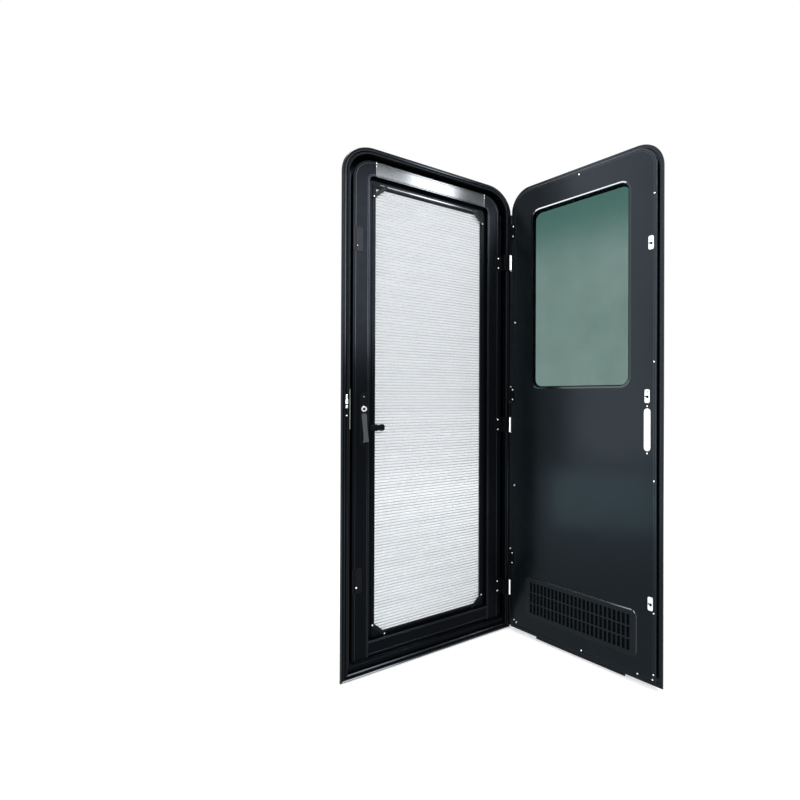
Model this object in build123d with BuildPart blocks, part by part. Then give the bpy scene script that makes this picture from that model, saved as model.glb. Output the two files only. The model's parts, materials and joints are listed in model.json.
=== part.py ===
from build123d import *
import os
from math import cos, radians, sin

# Caravan entry door, in millimetres.
# X runs to the right seen from outside, +Y goes into the caravan, +Z is up.
# The origin lies on the back of the wall flange, in the middle of the sill's flange.
# Insets are measured inwards from the frame's outer edge, drops downwards from its top edge.

# Frame: one bent section with an outer rim, an inner ridge and a web that lines the wall
FRAME_WIDTH = 660.0
FRAME_HEIGHT = 1840.0
CORNER_RADIUS = 105.0
ORIGIN_HEIGHT = 10.0
FLANGE_THICKNESS = 4.0
RIM_WIDTH = 14.0
RIM_HEIGHT = 10.0
RIM_BEVEL = 5.0
GROOVE_WIDTH = 3.0
RIDGE_WIDTH = 8.0
RIDGE_HEIGHT = 8.0
WEB_THICKNESS = 4.0
SILL_STEP = 19.0
STOP_WIDTH = 27.0
STOP_THICKNESS = 3.0
STOP_GAP = 5.0
SEAL_WIDTH = 6.0
SEAL_HEIGHT = 2.0

# Screen door: bent stiles, two rails and a recessed channel that holds the mesh
SCREEN_SETBACK = 14.0
SCREEN_THICKNESS = 28.0
SCREEN_LATCH_GAP = 13.0
SCREEN_HINGE_GAP = 19.0
SCREEN_HEAD_GAP = 6.0
SCREEN_FOOT_GAP = 6.0
STILE_WIDTH = 56.0
RAIL_JOINT_INSET = 116.5
BEAD_WIDTH = 3.0
BEAD_HEIGHT = 1.5
BEAD_STARTS = (9.0, 48.5, 53.0)
NOTCH_GAP = 1.0
CHANNEL_DEPTH = 18.0
CHANNEL_BEAD_WIDTH = 12.0
CHANNEL_BEAD_HEIGHT = 4.0
MESH_LATCH = 117.5
MESH_HINGE = 124.5
MESH_END = 117.0
MESH_THICKNESS = 1.5
MESH_SETBACK = 6.0
MESH_COLUMNS = 8
MESH_ROWS = 12
MESH_BAR = 8.0
BRACKET_LEG = 49.0
BRACKET_OVERLAP = 9.0
BRACKET_THICKNESS = 1.5

# Hinges: three knuckles on one pin, for the outer door, the frame and the screen door
HINGE_DROP = 150.0
HINGE_RISE = 146.0
HINGE_INSET = 8.0
HINGE_STANDOFF = 20.0
BARREL_RADIUS = 7.0
BARREL_GAP = 1.0
PIN_RADIUS = 3.0
PIN_CLEARANCE = 0.2
KNUCKLE_HEIGHT = 63.0
KNUCKLE_GAP = 0.5
HINGE_PLATE = 2.0
HINGE_NECK = 8.0
CRANK_PLATE_LIFT = 1.5
CRANK_LEG_GAP = 9.0
CRANK_FOOT = 24.0

# Outer door: sandwich panel in a stepped edge section
REST_SWING = 112.0
LEAF_CLEARANCE = 5.0
LIP_WIDTH = 13.0
LIP_THICKNESS = 10.0
LIP_BEVEL = 3.0
LEAF_GROOVE_WIDTH = 11.0
LEAF_GROOVE_DEPTH = 3.0
TRIM_OVERLAP = 4.0
TRIM_THICKNESS = 2.0
PANEL_THICKNESS = 19.0
SWEEP_DROP = 9.0
SWEEP_THICKNESS = 3.0
SWEEP_END_GAP = 129.0

# Window
GLASS_WIDTH = 397.0
GLASS_HEIGHT = 695.0
GLASS_RADIUS = 30.0
GLASS_THICKNESS = 4.0
GLASS_SEAT = 5.0
GLASS_CLEARANCE = 0.3
WINDOW_DROP = 481.0
WINDOW_SIDE = 17.0
WINDOW_END = 23.0
WINDOW_RADIUS = 40.0
WINDOW_PROUD = 4.0
WINDOW_INNER_BEAD = 9.0
WINDOW_INNER_PROUD = 3.0

# Vent
VENT_WIDTH = 468.0
VENT_HEIGHT = 176.0
VENT_RADIUS = 22.0
VENT_PROUD = 4.0
VENT_RISE = 173.0
VENT_INNER_WIDTH = 462.0
VENT_INNER_HEIGHT = 160.0
VENT_COLUMNS = 25
VENT_ROWS = 3
SLOT_WIDTH = 10.0
SLOT_HEIGHT = 37.0
SLOT_PITCH_X = 16.75
SLOT_PITCH_Z = 42.0

# Outer handle
HANDLE_INSET = 66.0
HANDLE_RISE = 890.0
HANDLE_WIDTH = 43.0
HANDLE_HEIGHT = 219.0
HANDLE_RADIUS = 14.0
HANDLE_PROUD = 5.0
POCKET_WIDTH = 33.0
POCKET_HEIGHT = 142.0
POCKET_BELOW = 27.0
POCKET_WALL = 2.0
POCKET_DEPTH = 12.0
LEVER_WIDTH = 20.0
LEVER_HEIGHT = 93.0
LEVER_BELOW = 37.0
LEVER_THICKNESS = 3.0
LEVER_PIVOT_DOWN = 6.0
LEVER_PIN_RADIUS = 2.5
LEVER_PIN_GAP = 0.3
CYLINDER_RADIUS = 9.5
CYLINDER_ABOVE = 27.0
BACK_COVER_WIDTH = 22.0
BACK_COVER_HEIGHT = 142.0
BACK_COVER_BELOW = 28.0
BACK_COVER_THICKNESS = 2.0

# Catches on the outer door and keepers on the screen door
CATCH_INSET = 54.0
CATCH_DROP = 358.0
CATCH_RISE = 291.0
CATCH_COVER_GAP = 17.0
CATCH_WIDTH = 20.0
CATCH_HEIGHT = 50.0
CATCH_PLATE = 2.0
STUD_RADIUS = 4.0
STUD_LENGTH = 6.0
STUD_UP = 14.0
KEEPER_WIDTH = 33.0
KEEPER_HEIGHT = 87.0
KEEPER_RADIUS = 6.0
KEEPER_EDGE = 2.0
KEEPER_HOLE_RADIUS = 6.0
KEEPER_HOLE_UP = 21.0
KEEPER_THICKNESS = 1.5

# Lock of the screen door, and the strike plate on the frame's latch jamb
SCREEN_LOCK_INSET = 77.0
SCREEN_LOCK_WIDTH = 30.0
SCREEN_LOCK_HEIGHT = 188.0
SCREEN_LOCK_PLATE = 2.0
SCREEN_CYLINDER_RADIUS = 10.0
SCREEN_CYLINDER_LENGTH = 4.0
SCREEN_CYLINDER_ABOVE = 36.0
SCREEN_LEVER_WIDTH = 18.0
SCREEN_LEVER_HEIGHT = 100.0
SCREEN_LEVER_ABOVE = 19.0
SCREEN_LEVER_TILT = 4.0
SCREEN_LEVER_THICKNESS = 3.0
SCREEN_LEVER_PROUD = 8.5
KNOB_BELOW = 32.0
KNOB_LENGTH = 52.0
KNOB_HEIGHT = 24.0
KNOB_DEPTH = 9.0
KNOB_INSET = 98.0
STRIKER_ABOVE = 36.5
STRIKER_HEIGHT = 137.0
STRIKER_DEPTH = 34.0
STRIKER_THICKNESS = 2.5
STRIKER_BASE_DEPTH = 22.0
CLAW_LOWS_AND_HEIGHTS = ((41.0, 11.0), (55.0, 17.0), (75.0, 14.0))
CLAW_PROUD = 5.0

# Places that follow from the sizes above
FRAME_BOTTOM = -ORIGIN_HEIGHT
FRAME_TOP = FRAME_BOTTOM + FRAME_HEIGHT
HALF_WIDTH = FRAME_WIDTH / 2
RIDGE_INSET = RIM_WIDTH + GROOVE_WIDTH
JAMB_INSET = RIDGE_INSET + RIDGE_WIDTH
WEB_INSET = JAMB_INSET - WEB_THICKNESS
STOP_INSET = JAMB_INSET + STOP_WIDTH

SCREEN_LATCH = JAMB_INSET + SCREEN_LATCH_GAP
SCREEN_HINGE = JAMB_INSET + SCREEN_HINGE_GAP
SCREEN_HEAD = JAMB_INSET + SCREEN_HEAD_GAP
SCREEN_FOOT = JAMB_INSET + SILL_STEP + SCREEN_FOOT_GAP
SCREEN_BACK = SCREEN_SETBACK + SCREEN_THICKNESS
STOP_FRONT = SCREEN_BACK + STOP_GAP
FRAME_DEPTH = STOP_FRONT + STOP_THICKNESS
BEAD_FRONT = SCREEN_SETBACK - BEAD_HEIGHT
CHANNEL_FRONT = SCREEN_SETBACK + CHANNEL_DEPTH
CHANNEL_BEAD_FRONT = CHANNEL_FRONT - CHANNEL_BEAD_HEIGHT
MESH_FRONT = CHANNEL_FRONT + MESH_SETBACK

HINGE_X = HALF_WIDTH - HINGE_INSET
HINGE_Y = -HINGE_STANDOFF
LEAF_INSET = HINGE_INSET + BARREL_RADIUS + BARREL_GAP
PANEL_INSET = LEAF_INSET + LIP_WIDTH + LEAF_GROOVE_WIDTH
LIP_BACK = -(RIM_HEIGHT + LEAF_CLEARANCE)
LEAF_FRONT = LIP_BACK - LIP_THICKNESS
LEAF_GROOVE_BACK = LIP_BACK - LEAF_GROOVE_DEPTH
PANEL_FRONT = LEAF_FRONT + TRIM_THICKNESS
PANEL_BACK = PANEL_FRONT + PANEL_THICKNESS
SILL_STEP_FRONT = PANEL_BACK + LEAF_CLEARANCE

HANDLE_X = -HALF_WIDTH + HANDLE_INSET
HANDLE_Z = FRAME_BOTTOM + HANDLE_RISE
POCKET_Z = HANDLE_Z - POCKET_BELOW
HANDLE_FRONT = PANEL_FRONT - HANDLE_PROUD
POCKET_FLOOR = PANEL_FRONT + POCKET_DEPTH
LEVER_Z = HANDLE_Z - LEVER_BELOW
LEVER_TOP = LEVER_Z + LEVER_HEIGHT / 2
LEVER_FRONT = HANDLE_FRONT - LEVER_THICKNESS
PIVOT_Y = LEVER_FRONT + LEVER_THICKNESS + LEVER_PIN_RADIUS
BACK_COVER_Z = HANDLE_Z - BACK_COVER_BELOW

HINGE_HEIGHT = 3 * KNUCKLE_HEIGHT
UPPER_HINGE_TOP = FRAME_TOP - HINGE_DROP
LOWER_HINGE_TOP = FRAME_BOTTOM + HINGE_RISE + HINGE_HEIGHT
HINGE_TOPS = {
    "upper": UPPER_HINGE_TOP,
    "middle": (UPPER_HINGE_TOP + LOWER_HINGE_TOP) / 2,
    "lower": LOWER_HINGE_TOP,
}
UPPER_CATCH_Z = FRAME_TOP - CATCH_DROP
MIDDLE_CATCH_Z = BACK_COVER_Z + BACK_COVER_HEIGHT / 2 + CATCH_COVER_GAP + CATCH_HEIGHT / 2
LOWER_CATCH_Z = FRAME_BOTTOM + CATCH_RISE
CATCH_PLACES = {
    "upper": (CATCH_INSET, UPPER_CATCH_Z),
    "middle": (HANDLE_INSET, MIDDLE_CATCH_Z),
    "lower": (CATCH_INSET, LOWER_CATCH_Z),
}
KEEPER_HOLES = {"upper": UPPER_CATCH_Z + STUD_UP, "lower": LOWER_CATCH_Z + STUD_UP}


def frame_at(y):
    """Upright plane of the closed door at depth y, facing outwards."""
    return Plane(origin=(0, y, 0), x_dir=(1, 0, 0), z_dir=(0, -1, 0))


def leaf_at(y):
    """The same plane carried round the hinge line to where the outer door rests."""
    turn = radians(REST_SWING)
    back = y - HINGE_Y
    x = HINGE_X - HINGE_X * cos(turn) - back * sin(turn)
    depth = HINGE_Y - HINGE_X * sin(turn) + back * cos(turn)
    return Plane(origin=(x, depth, 0), x_dir=(cos(turn), sin(turn), 0), z_dir=(sin(turn), -cos(turn), 0))


def leaf_side(x, y, z):
    """Plane square to the outer door's width, at a place given in the closed door's coordinates."""
    face = leaf_at(y)
    return Plane(origin=face.from_local_coords((x, z, 0)), x_dir=face.z_dir, z_dir=face.x_dir)


def hinge_section(z, swing=0.0):
    """Level plane at height z with its origin on the hinge line, turned by the swing."""
    turn = radians(swing)
    return Plane(origin=(HINGE_X, HINGE_Y, z), x_dir=(cos(turn), sin(turn), 0), z_dir=(0, 0, 1))


def arched(latch, hinge, head, foot, mode=Mode.ADD):
    """Door outline with rounded top corners, inset by its own amount at each of the four sides."""
    left = -HALF_WIDTH + latch
    right = HALF_WIDTH - hinge
    low = FRAME_BOTTOM + foot
    high = FRAME_TOP - head
    radius = CORNER_RADIUS - head
    with BuildLine() as outline:
        Polyline((left, high - radius), (left, low), (right, low), (right, high - radius))
        JernArc((right, high - radius), (0, 1), radius, 90)
        Line((right - radius, high), (left + radius, high))
        JernArc((left + radius, high), (-1, 0), radius, 90)
    make_face(outline.edges(), mode=mode)


def band(place, outer, inner, front, back):
    """Closed band of the door outline between two insets, from its front depth to its back depth."""
    with BuildSketch(place(back)) as section:
        arched(outer, outer, outer, outer)
        arched(inner, inner, inner, inner, mode=Mode.SUBTRACT)
    extrude(section.sketch, amount=back - front)


def foot_mitre(place, inset, width, front, back, mode):
    """Keep or cut the foot of a band along its mitres, from its outer edge to its inner edge."""
    low = FRAME_BOTTOM + inset
    half = HALF_WIDTH - inset
    with BuildSketch(place(back)) as mitre:
        with BuildLine() as outline:
            Polyline(
                (-half, low),
                (half, low),
                (half - width, low + width),
                (-half + width, low + width),
                close=True,
            )
        make_face(outline.edges())
    extrude(mitre.sketch, amount=back - front, mode=mode)


def bevel_front(place, size):
    """Bevel the outer edge of the front face."""
    front = faces().sort_by(Axis(place(0).origin, place(0).z_dir))[-1]
    chamfer(front.outer_wire().edges(), length=size)


def frame_bands():
    """Rim, flange, ridge, web and stop of the frame's section."""
    band(frame_at, 0, RIM_WIDTH, -RIM_HEIGHT, 0)
    bevel_front(frame_at, RIM_BEVEL)
    band(frame_at, 0, JAMB_INSET, -FLANGE_THICKNESS, 0)
    band(frame_at, RIDGE_INSET, JAMB_INSET, -RIDGE_HEIGHT, 0)
    band(frame_at, WEB_INSET, JAMB_INSET, -FLANGE_THICKNESS, FRAME_DEPTH)
    band(frame_at, WEB_INSET, STOP_INSET, STOP_FRONT, FRAME_DEPTH)


def leaf_bands():
    """Face, lip and groove of the outer door's edge section."""
    band(leaf_at, LEAF_INSET, PANEL_INSET + TRIM_OVERLAP, LEAF_FRONT, PANEL_FRONT)
    band(leaf_at, LEAF_INSET, LEAF_INSET + LIP_WIDTH, LEAF_FRONT, LIP_BACK)
    band(leaf_at, LEAF_INSET + LIP_WIDTH, PANEL_INSET, LEAF_FRONT, LEAF_GROOVE_BACK)
    bevel_front(leaf_at, LIP_BEVEL)


def write(part, name):
    """Label a finished piece and write its file."""
    part.label = name
    export_step(part, f"parts/{name}.step")


os.makedirs("parts", exist_ok=True)

# Frame
with BuildPart() as frame_hoop:
    frame_bands()
    foot_mitre(frame_at, 0, STOP_INSET, -RIM_HEIGHT, FRAME_DEPTH, Mode.SUBTRACT)
write(frame_hoop.part, "frame_hoop")

with BuildPart() as frame_sill:
    frame_bands()
    foot_mitre(frame_at, 0, STOP_INSET, -RIM_HEIGHT, FRAME_DEPTH, Mode.INTERSECT)
    with BuildSketch(frame_at(STOP_FRONT)):
        with Locations((0, FRAME_BOTTOM + JAMB_INSET)):
            Rectangle(FRAME_WIDTH - 2 * JAMB_INSET, SILL_STEP, align=(Align.CENTER, Align.MIN))
    extrude(amount=STOP_FRONT - SILL_STEP_FRONT)
write(frame_sill.part, "frame_sill")

with BuildPart() as frame_seal:
    seal_inset = RIDGE_INSET + (RIDGE_WIDTH - SEAL_WIDTH) / 2
    band(frame_at, seal_inset, seal_inset + SEAL_WIDTH, -RIDGE_HEIGHT - SEAL_HEIGHT, -RIDGE_HEIGHT)
write(frame_seal.part, "frame_seal")

striker_x = -HALF_WIDTH + JAMB_INSET
striker_low = HANDLE_Z + STRIKER_ABOVE - STRIKER_HEIGHT / 2
with BuildPart() as lock_striker:
    with BuildSketch(frame_at(STRIKER_BASE_DEPTH)):
        with Locations((striker_x, striker_low)):
            Rectangle(STRIKER_THICKNESS, STRIKER_HEIGHT, align=(Align.MIN, Align.MIN))
    extrude(amount=STRIKER_BASE_DEPTH)
    with BuildSketch(frame_at(STRIKER_DEPTH - FLANGE_THICKNESS)):
        with Locations((striker_x + STRIKER_THICKNESS, striker_low)):
            Rectangle(STRIKER_THICKNESS, STRIKER_HEIGHT, align=(Align.MIN, Align.MIN))
    extrude(amount=STRIKER_DEPTH)
    with BuildSketch(frame_at(0)):
        for claw_low, claw_height in CLAW_LOWS_AND_HEIGHTS:
            with Locations((striker_x, striker_low + claw_low)):
                Rectangle(2 * STRIKER_THICKNESS, claw_height, align=(Align.MIN, Align.MIN))
    extrude(amount=FLANGE_THICKNESS + CLAW_PROUD)
write(lock_striker.part, "lock_striker")

# Screen door
SCREEN_OUTLINE = (SCREEN_LATCH, SCREEN_HINGE, SCREEN_HEAD)
SCREEN_LOW = FRAME_BOTTOM + SCREEN_FOOT


def screen_bands(keep_from, keep_to, low):
    """Stretch of the screen door's bent section between two places in X, above a height."""
    runs = [(0.0, STILE_WIDTH, SCREEN_SETBACK, SCREEN_BACK)]
    runs += [(start, start + BEAD_WIDTH, BEAD_FRONT, SCREEN_SETBACK) for start in BEAD_STARTS]
    for start, end, front, back in runs:
        with BuildSketch(frame_at(back)) as section:
            arched(*[inset + start for inset in SCREEN_OUTLINE], SCREEN_FOOT)
            arched(*[inset + end for inset in SCREEN_OUTLINE], SCREEN_FOOT, mode=Mode.SUBTRACT)
            with Locations((keep_from, low)):
                Rectangle(
                    keep_to - keep_from,
                    FRAME_TOP - low,
                    align=(Align.MIN, Align.MIN),
                    mode=Mode.INTERSECT,
                )
        extrude(section.sketch, amount=back - front)


def bead_notch(x, z, width, height):
    """Clear the beads of a stile where a fitting lies flat on it."""
    with BuildSketch(frame_at(SCREEN_SETBACK)) as notch:
        with Locations((x, z)):
            Rectangle(width + 2 * NOTCH_GAP, height + 2 * NOTCH_GAP)
    extrude(notch.sketch, amount=BEAD_HEIGHT, mode=Mode.SUBTRACT)


joint_x = HALF_WIDTH - RAIL_JOINT_INSET
lock_x = -HALF_WIDTH + SCREEN_LOCK_INSET
keeper_x = -HALF_WIDTH + SCREEN_LATCH + KEEPER_EDGE + KEEPER_WIDTH / 2
keeper_rise = KEEPER_HEIGHT / 2 - KEEPER_HOLE_UP
with BuildPart() as screen_latch_stile:
    screen_bands(-HALF_WIDTH, -joint_x, SCREEN_LOW)
    bead_notch(lock_x, HANDLE_Z, SCREEN_LOCK_WIDTH, SCREEN_LOCK_HEIGHT)
    for hole_z in KEEPER_HOLES.values():
        bead_notch(keeper_x, hole_z + keeper_rise, KEEPER_WIDTH, KEEPER_HEIGHT)
write(screen_latch_stile.part, "screen_latch_stile")

crank_x = HALF_WIDTH - SCREEN_HINGE - CRANK_FOOT / 2
with BuildPart() as screen_hinge_stile:
    screen_bands(joint_x, HALF_WIDTH, SCREEN_LOW)
    for hinge_top in HINGE_TOPS.values():
        bead_notch(crank_x, hinge_top - 2.5 * KNUCKLE_HEIGHT, CRANK_FOOT, KNUCKLE_HEIGHT)
write(screen_hinge_stile.part, "screen_hinge_stile")

with BuildPart() as screen_top_rail:
    screen_bands(-joint_x, joint_x, FRAME_TOP / 2)
write(screen_top_rail.part, "screen_top_rail")

rail_left = -HALF_WIDTH + SCREEN_LATCH + STILE_WIDTH
rail_right = HALF_WIDTH - SCREEN_HINGE - STILE_WIDTH
rail_width = rail_right - rail_left
with BuildPart() as screen_bottom_rail:
    with BuildSketch(frame_at(SCREEN_BACK)):
        with Locations((rail_left, SCREEN_LOW)):
            Rectangle(rail_width, STILE_WIDTH, align=(Align.MIN, Align.MIN))
    extrude(amount=SCREEN_THICKNESS)
    with BuildSketch(frame_at(SCREEN_SETBACK)):
        for bead_low in BEAD_STARTS:
            with Locations((rail_left, SCREEN_LOW + bead_low)):
                Rectangle(rail_width, BEAD_WIDTH, align=(Align.MIN, Align.MIN))
    extrude(amount=BEAD_HEIGHT)
write(screen_bottom_rail.part, "screen_bottom_rail")

mesh_left = -HALF_WIDTH + MESH_LATCH
mesh_right = HALF_WIDTH - MESH_HINGE
mesh_low = FRAME_BOTTOM + MESH_END
mesh_high = FRAME_TOP - MESH_END
mesh_x = (mesh_left + mesh_right) / 2
mesh_z = (mesh_low + mesh_high) / 2
mesh_width = mesh_right - mesh_left
mesh_height = mesh_high - mesh_low
channel_outline = [inset + STILE_WIDTH for inset in SCREEN_OUTLINE]
channel_foot = SCREEN_FOOT + STILE_WIDTH
with BuildPart() as mesh_channel:
    with BuildSketch(frame_at(SCREEN_BACK)):
        arched(*channel_outline, channel_foot)
        with Locations((mesh_x, mesh_z)):
            Rectangle(mesh_width, mesh_height, mode=Mode.SUBTRACT)
    extrude(amount=SCREEN_THICKNESS - CHANNEL_DEPTH)
    with BuildSketch(frame_at(CHANNEL_FRONT)):
        with Locations((mesh_x, mesh_z)):
            Rectangle(mesh_width + 2 * CHANNEL_BEAD_WIDTH, mesh_height + 2 * CHANNEL_BEAD_WIDTH)
            Rectangle(mesh_width, mesh_height, mode=Mode.SUBTRACT)
        arched(*channel_outline, channel_foot, mode=Mode.INTERSECT)
    extrude(amount=CHANNEL_BEAD_HEIGHT)
write(mesh_channel.part, "mesh_channel")

# The weave is far finer: the solid carries it as an open grid
mesh_pitch_x = mesh_width / MESH_COLUMNS
mesh_pitch_z = mesh_height / MESH_ROWS
with BuildPart() as screen_mesh:
    with BuildSketch(frame_at(MESH_FRONT + MESH_THICKNESS)):
        with Locations((mesh_x, mesh_z)):
            Rectangle(mesh_width, mesh_height)
            with GridLocations(mesh_pitch_x, mesh_pitch_z, MESH_COLUMNS, MESH_ROWS):
                Rectangle(mesh_pitch_x - MESH_BAR, mesh_pitch_z - MESH_BAR, mode=Mode.SUBTRACT)
    extrude(amount=MESH_THICKNESS)
write(screen_mesh.part, "screen_mesh")

BRACKET_CORNERS = {
    "upper_latch": (mesh_left, mesh_high, 1, -1),
    "upper_hinge": (mesh_right, mesh_high, -1, -1),
    "lower_latch": (mesh_left, mesh_low, 1, 1),
    "lower_hinge": (mesh_right, mesh_low, -1, 1),
}
for name, (x, z, side, rise) in BRACKET_CORNERS.items():
    with BuildPart() as mesh_bracket:
        corner_x = x - side * BRACKET_OVERLAP
        corner_z = z - rise * BRACKET_OVERLAP
        with BuildSketch(frame_at(CHANNEL_BEAD_FRONT)):
            with BuildLine():
                Polyline(
                    (corner_x, corner_z),
                    (corner_x + side * BRACKET_LEG, corner_z),
                    (corner_x, corner_z + rise * BRACKET_LEG),
                    close=True,
                )
            make_face()
        extrude(amount=BRACKET_THICKNESS)
    write(mesh_bracket.part, f"mesh_bracket_{name}")

lock_front = SCREEN_SETBACK - SCREEN_LOCK_PLATE
with BuildPart() as screen_lock_plate:
    with BuildSketch(frame_at(SCREEN_SETBACK)):
        with Locations((lock_x, HANDLE_Z)):
            SlotOverall(SCREEN_LOCK_HEIGHT, SCREEN_LOCK_WIDTH, rotation=90)
    extrude(amount=SCREEN_LOCK_PLATE)
write(screen_lock_plate.part, "screen_lock_plate")

with BuildPart() as screen_lock_cylinder:
    with BuildSketch(frame_at(lock_front)):
        with Locations((lock_x, HANDLE_Z + SCREEN_CYLINDER_ABOVE)):
            Circle(SCREEN_CYLINDER_RADIUS)
    extrude(amount=SCREEN_CYLINDER_LENGTH)
write(screen_lock_cylinder.part, "screen_lock_cylinder")

lever_turn = radians(SCREEN_LEVER_TILT)
lever_side = Plane(
    origin=(lock_x, 0, HANDLE_Z + SCREEN_LEVER_ABOVE),
    x_dir=(0, 1, 0),
    z_dir=(cos(lever_turn), 0, sin(lever_turn)),
)
lever_tip = lock_front - SCREEN_LEVER_PROUD
with BuildPart() as screen_lever:
    with BuildSketch(lever_side):
        with BuildLine():
            Polyline(
                (lock_front, 0),
                (lock_front - SCREEN_LEVER_THICKNESS, 0),
                (lever_tip, SCREEN_LEVER_THICKNESS - SCREEN_LEVER_HEIGHT),
                (lever_tip, -SCREEN_LEVER_HEIGHT),
                (lever_tip + SCREEN_LEVER_THICKNESS, -SCREEN_LEVER_HEIGHT),
                (lock_front, -SCREEN_LEVER_WIDTH),
                close=True,
            )
        make_face()
    extrude(amount=SCREEN_LEVER_WIDTH / 2, both=True)
write(screen_lever.part, "screen_lever")

with BuildPart() as screen_knob:
    with BuildSketch(frame_at(CHANNEL_BEAD_FRONT)):
        with Locations((-HALF_WIDTH + KNOB_INSET + KNOB_LENGTH / 2, HANDLE_Z - KNOB_BELOW)):
            SlotOverall(KNOB_LENGTH, KNOB_HEIGHT)
    extrude(amount=KNOB_DEPTH)
write(screen_knob.part, "screen_knob")

for name, hole_z in KEEPER_HOLES.items():
    with BuildPart() as keeper_plate:
        with BuildSketch(frame_at(SCREEN_SETBACK)):
            with Locations((keeper_x, hole_z + keeper_rise)):
                RectangleRounded(KEEPER_WIDTH, KEEPER_HEIGHT, KEEPER_RADIUS)
            with Locations((-HALF_WIDTH + CATCH_INSET, hole_z)):
                Circle(KEEPER_HOLE_RADIUS, mode=Mode.SUBTRACT)
        extrude(amount=KEEPER_THICKNESS)
    write(keeper_plate.part, f"keeper_plate_{name}")

# Hinges
bore = PIN_RADIUS + PIN_CLEARANCE
knuckle = KNUCKLE_HEIGHT - KNUCKLE_GAP
rim_front = -RIM_HEIGHT - HINGE_Y
lip_back = LIP_BACK - HINGE_Y
crank_back = rim_front - CRANK_PLATE_LIFT
crank_leg = SCREEN_HINGE - HINGE_INSET - CRANK_LEG_GAP
foot_back = SCREEN_SETBACK - HINGE_Y
for name, hinge_top in HINGE_TOPS.items():
    frame_low = hinge_top - 2 * KNUCKLE_HEIGHT
    with BuildPart() as hinge_frame_leaf:
        with BuildSketch(hinge_section(frame_low)):
            Circle(BARREL_RADIUS)
            Rectangle(HINGE_NECK, rim_front, align=(Align.CENTER, Align.MIN))
            with Locations((HINGE_INSET, rim_front)):
                Rectangle(RIM_WIDTH, HINGE_PLATE, align=(Align.MAX, Align.MAX))
        extrude(amount=knuckle)
        with BuildSketch(hinge_section(hinge_top - HINGE_HEIGHT)):
            Circle(PIN_RADIUS)
        extrude(amount=HINGE_HEIGHT)
    write(hinge_frame_leaf.part, f"hinge_frame_leaf_{name}")

    with BuildPart() as hinge_screen_leaf:
        with BuildSketch(hinge_section(frame_low - KNUCKLE_HEIGHT)):
            Circle(BARREL_RADIUS)
            Rectangle(BARREL_RADIUS, crank_back, align=(Align.MAX, Align.MIN))
            with Locations((0, crank_back)):
                Rectangle(crank_leg, HINGE_PLATE, align=(Align.MAX, Align.MAX))
            with Locations((-crank_leg, foot_back)):
                Rectangle(HINGE_PLATE, foot_back - crank_back + HINGE_PLATE, align=(Align.MIN, Align.MAX))
                Rectangle(CRANK_LEG_GAP + CRANK_FOOT, HINGE_PLATE, align=(Align.MAX, Align.MAX))
            Circle(bore, mode=Mode.SUBTRACT)
        extrude(amount=knuckle)
    write(hinge_screen_leaf.part, f"hinge_screen_leaf_{name}")

    with BuildPart() as hinge_door_leaf:
        with BuildSketch(hinge_section(frame_low + KNUCKLE_HEIGHT, REST_SWING)):
            Circle(BARREL_RADIUS)
            with Locations((0, lip_back)):
                Rectangle(LEAF_INSET - HINGE_INSET + LIP_WIDTH, HINGE_PLATE, align=(Align.MAX, Align.MIN))
            Circle(bore, mode=Mode.SUBTRACT)
        extrude(amount=knuckle)
    write(hinge_door_leaf.part, f"hinge_door_leaf_{name}")

# Outer door
window_z = FRAME_TOP - WINDOW_DROP
vent_z = FRAME_BOTTOM + VENT_RISE
cutout_width = GLASS_WIDTH + 2 * GLASS_SEAT
cutout_height = GLASS_HEIGHT + 2 * GLASS_SEAT
cutout_radius = GLASS_RADIUS + GLASS_SEAT
field_width = (VENT_COLUMNS - 1) * SLOT_PITCH_X + SLOT_WIDTH
field_height = (VENT_ROWS - 1) * SLOT_PITCH_Z + SLOT_HEIGHT
tub_width = POCKET_WIDTH + 2 * POCKET_WALL
tub_height = POCKET_HEIGHT + 2 * POCKET_WALL
with BuildPart() as door_panel:
    with BuildSketch(leaf_at(PANEL_BACK)):
        arched(PANEL_INSET, PANEL_INSET, PANEL_INSET, PANEL_INSET)
        with Locations((0, window_z)):
            RectangleRounded(cutout_width, cutout_height, cutout_radius, mode=Mode.SUBTRACT)
        with Locations((0, vent_z)):
            Rectangle(field_width, field_height, mode=Mode.SUBTRACT)
    extrude(amount=PANEL_THICKNESS)
    with BuildSketch(leaf_at(POCKET_FLOOR + POCKET_WALL)):
        with Locations((HANDLE_X, POCKET_Z)):
            Rectangle(tub_width, tub_height)
    extrude(amount=POCKET_DEPTH + POCKET_WALL, mode=Mode.SUBTRACT)
write(door_panel.part, "door_panel")

leaf_trim = PANEL_INSET + TRIM_OVERLAP - LEAF_INSET
with BuildPart() as door_edge_hoop:
    leaf_bands()
    foot_mitre(leaf_at, LEAF_INSET, leaf_trim, LEAF_FRONT, LIP_BACK, Mode.SUBTRACT)
write(door_edge_hoop.part, "door_edge_hoop")

with BuildPart() as door_bottom_rail:
    leaf_bands()
    foot_mitre(leaf_at, LEAF_INSET, leaf_trim, LEAF_FRONT, LIP_BACK, Mode.INTERSECT)
write(door_bottom_rail.part, "door_bottom_rail")

with BuildPart() as door_sweep:
    with BuildSketch(leaf_at(LIP_BACK)):
        with Locations((0, FRAME_BOTTOM + LEAF_INSET)):
            sweep_length = FRAME_WIDTH - 2 * (LEAF_INSET + SWEEP_END_GAP)
            Rectangle(sweep_length, SWEEP_DROP, align=(Align.CENTER, Align.MAX))
    extrude(amount=SWEEP_THICKNESS)
write(door_sweep.part, "door_sweep")

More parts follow.
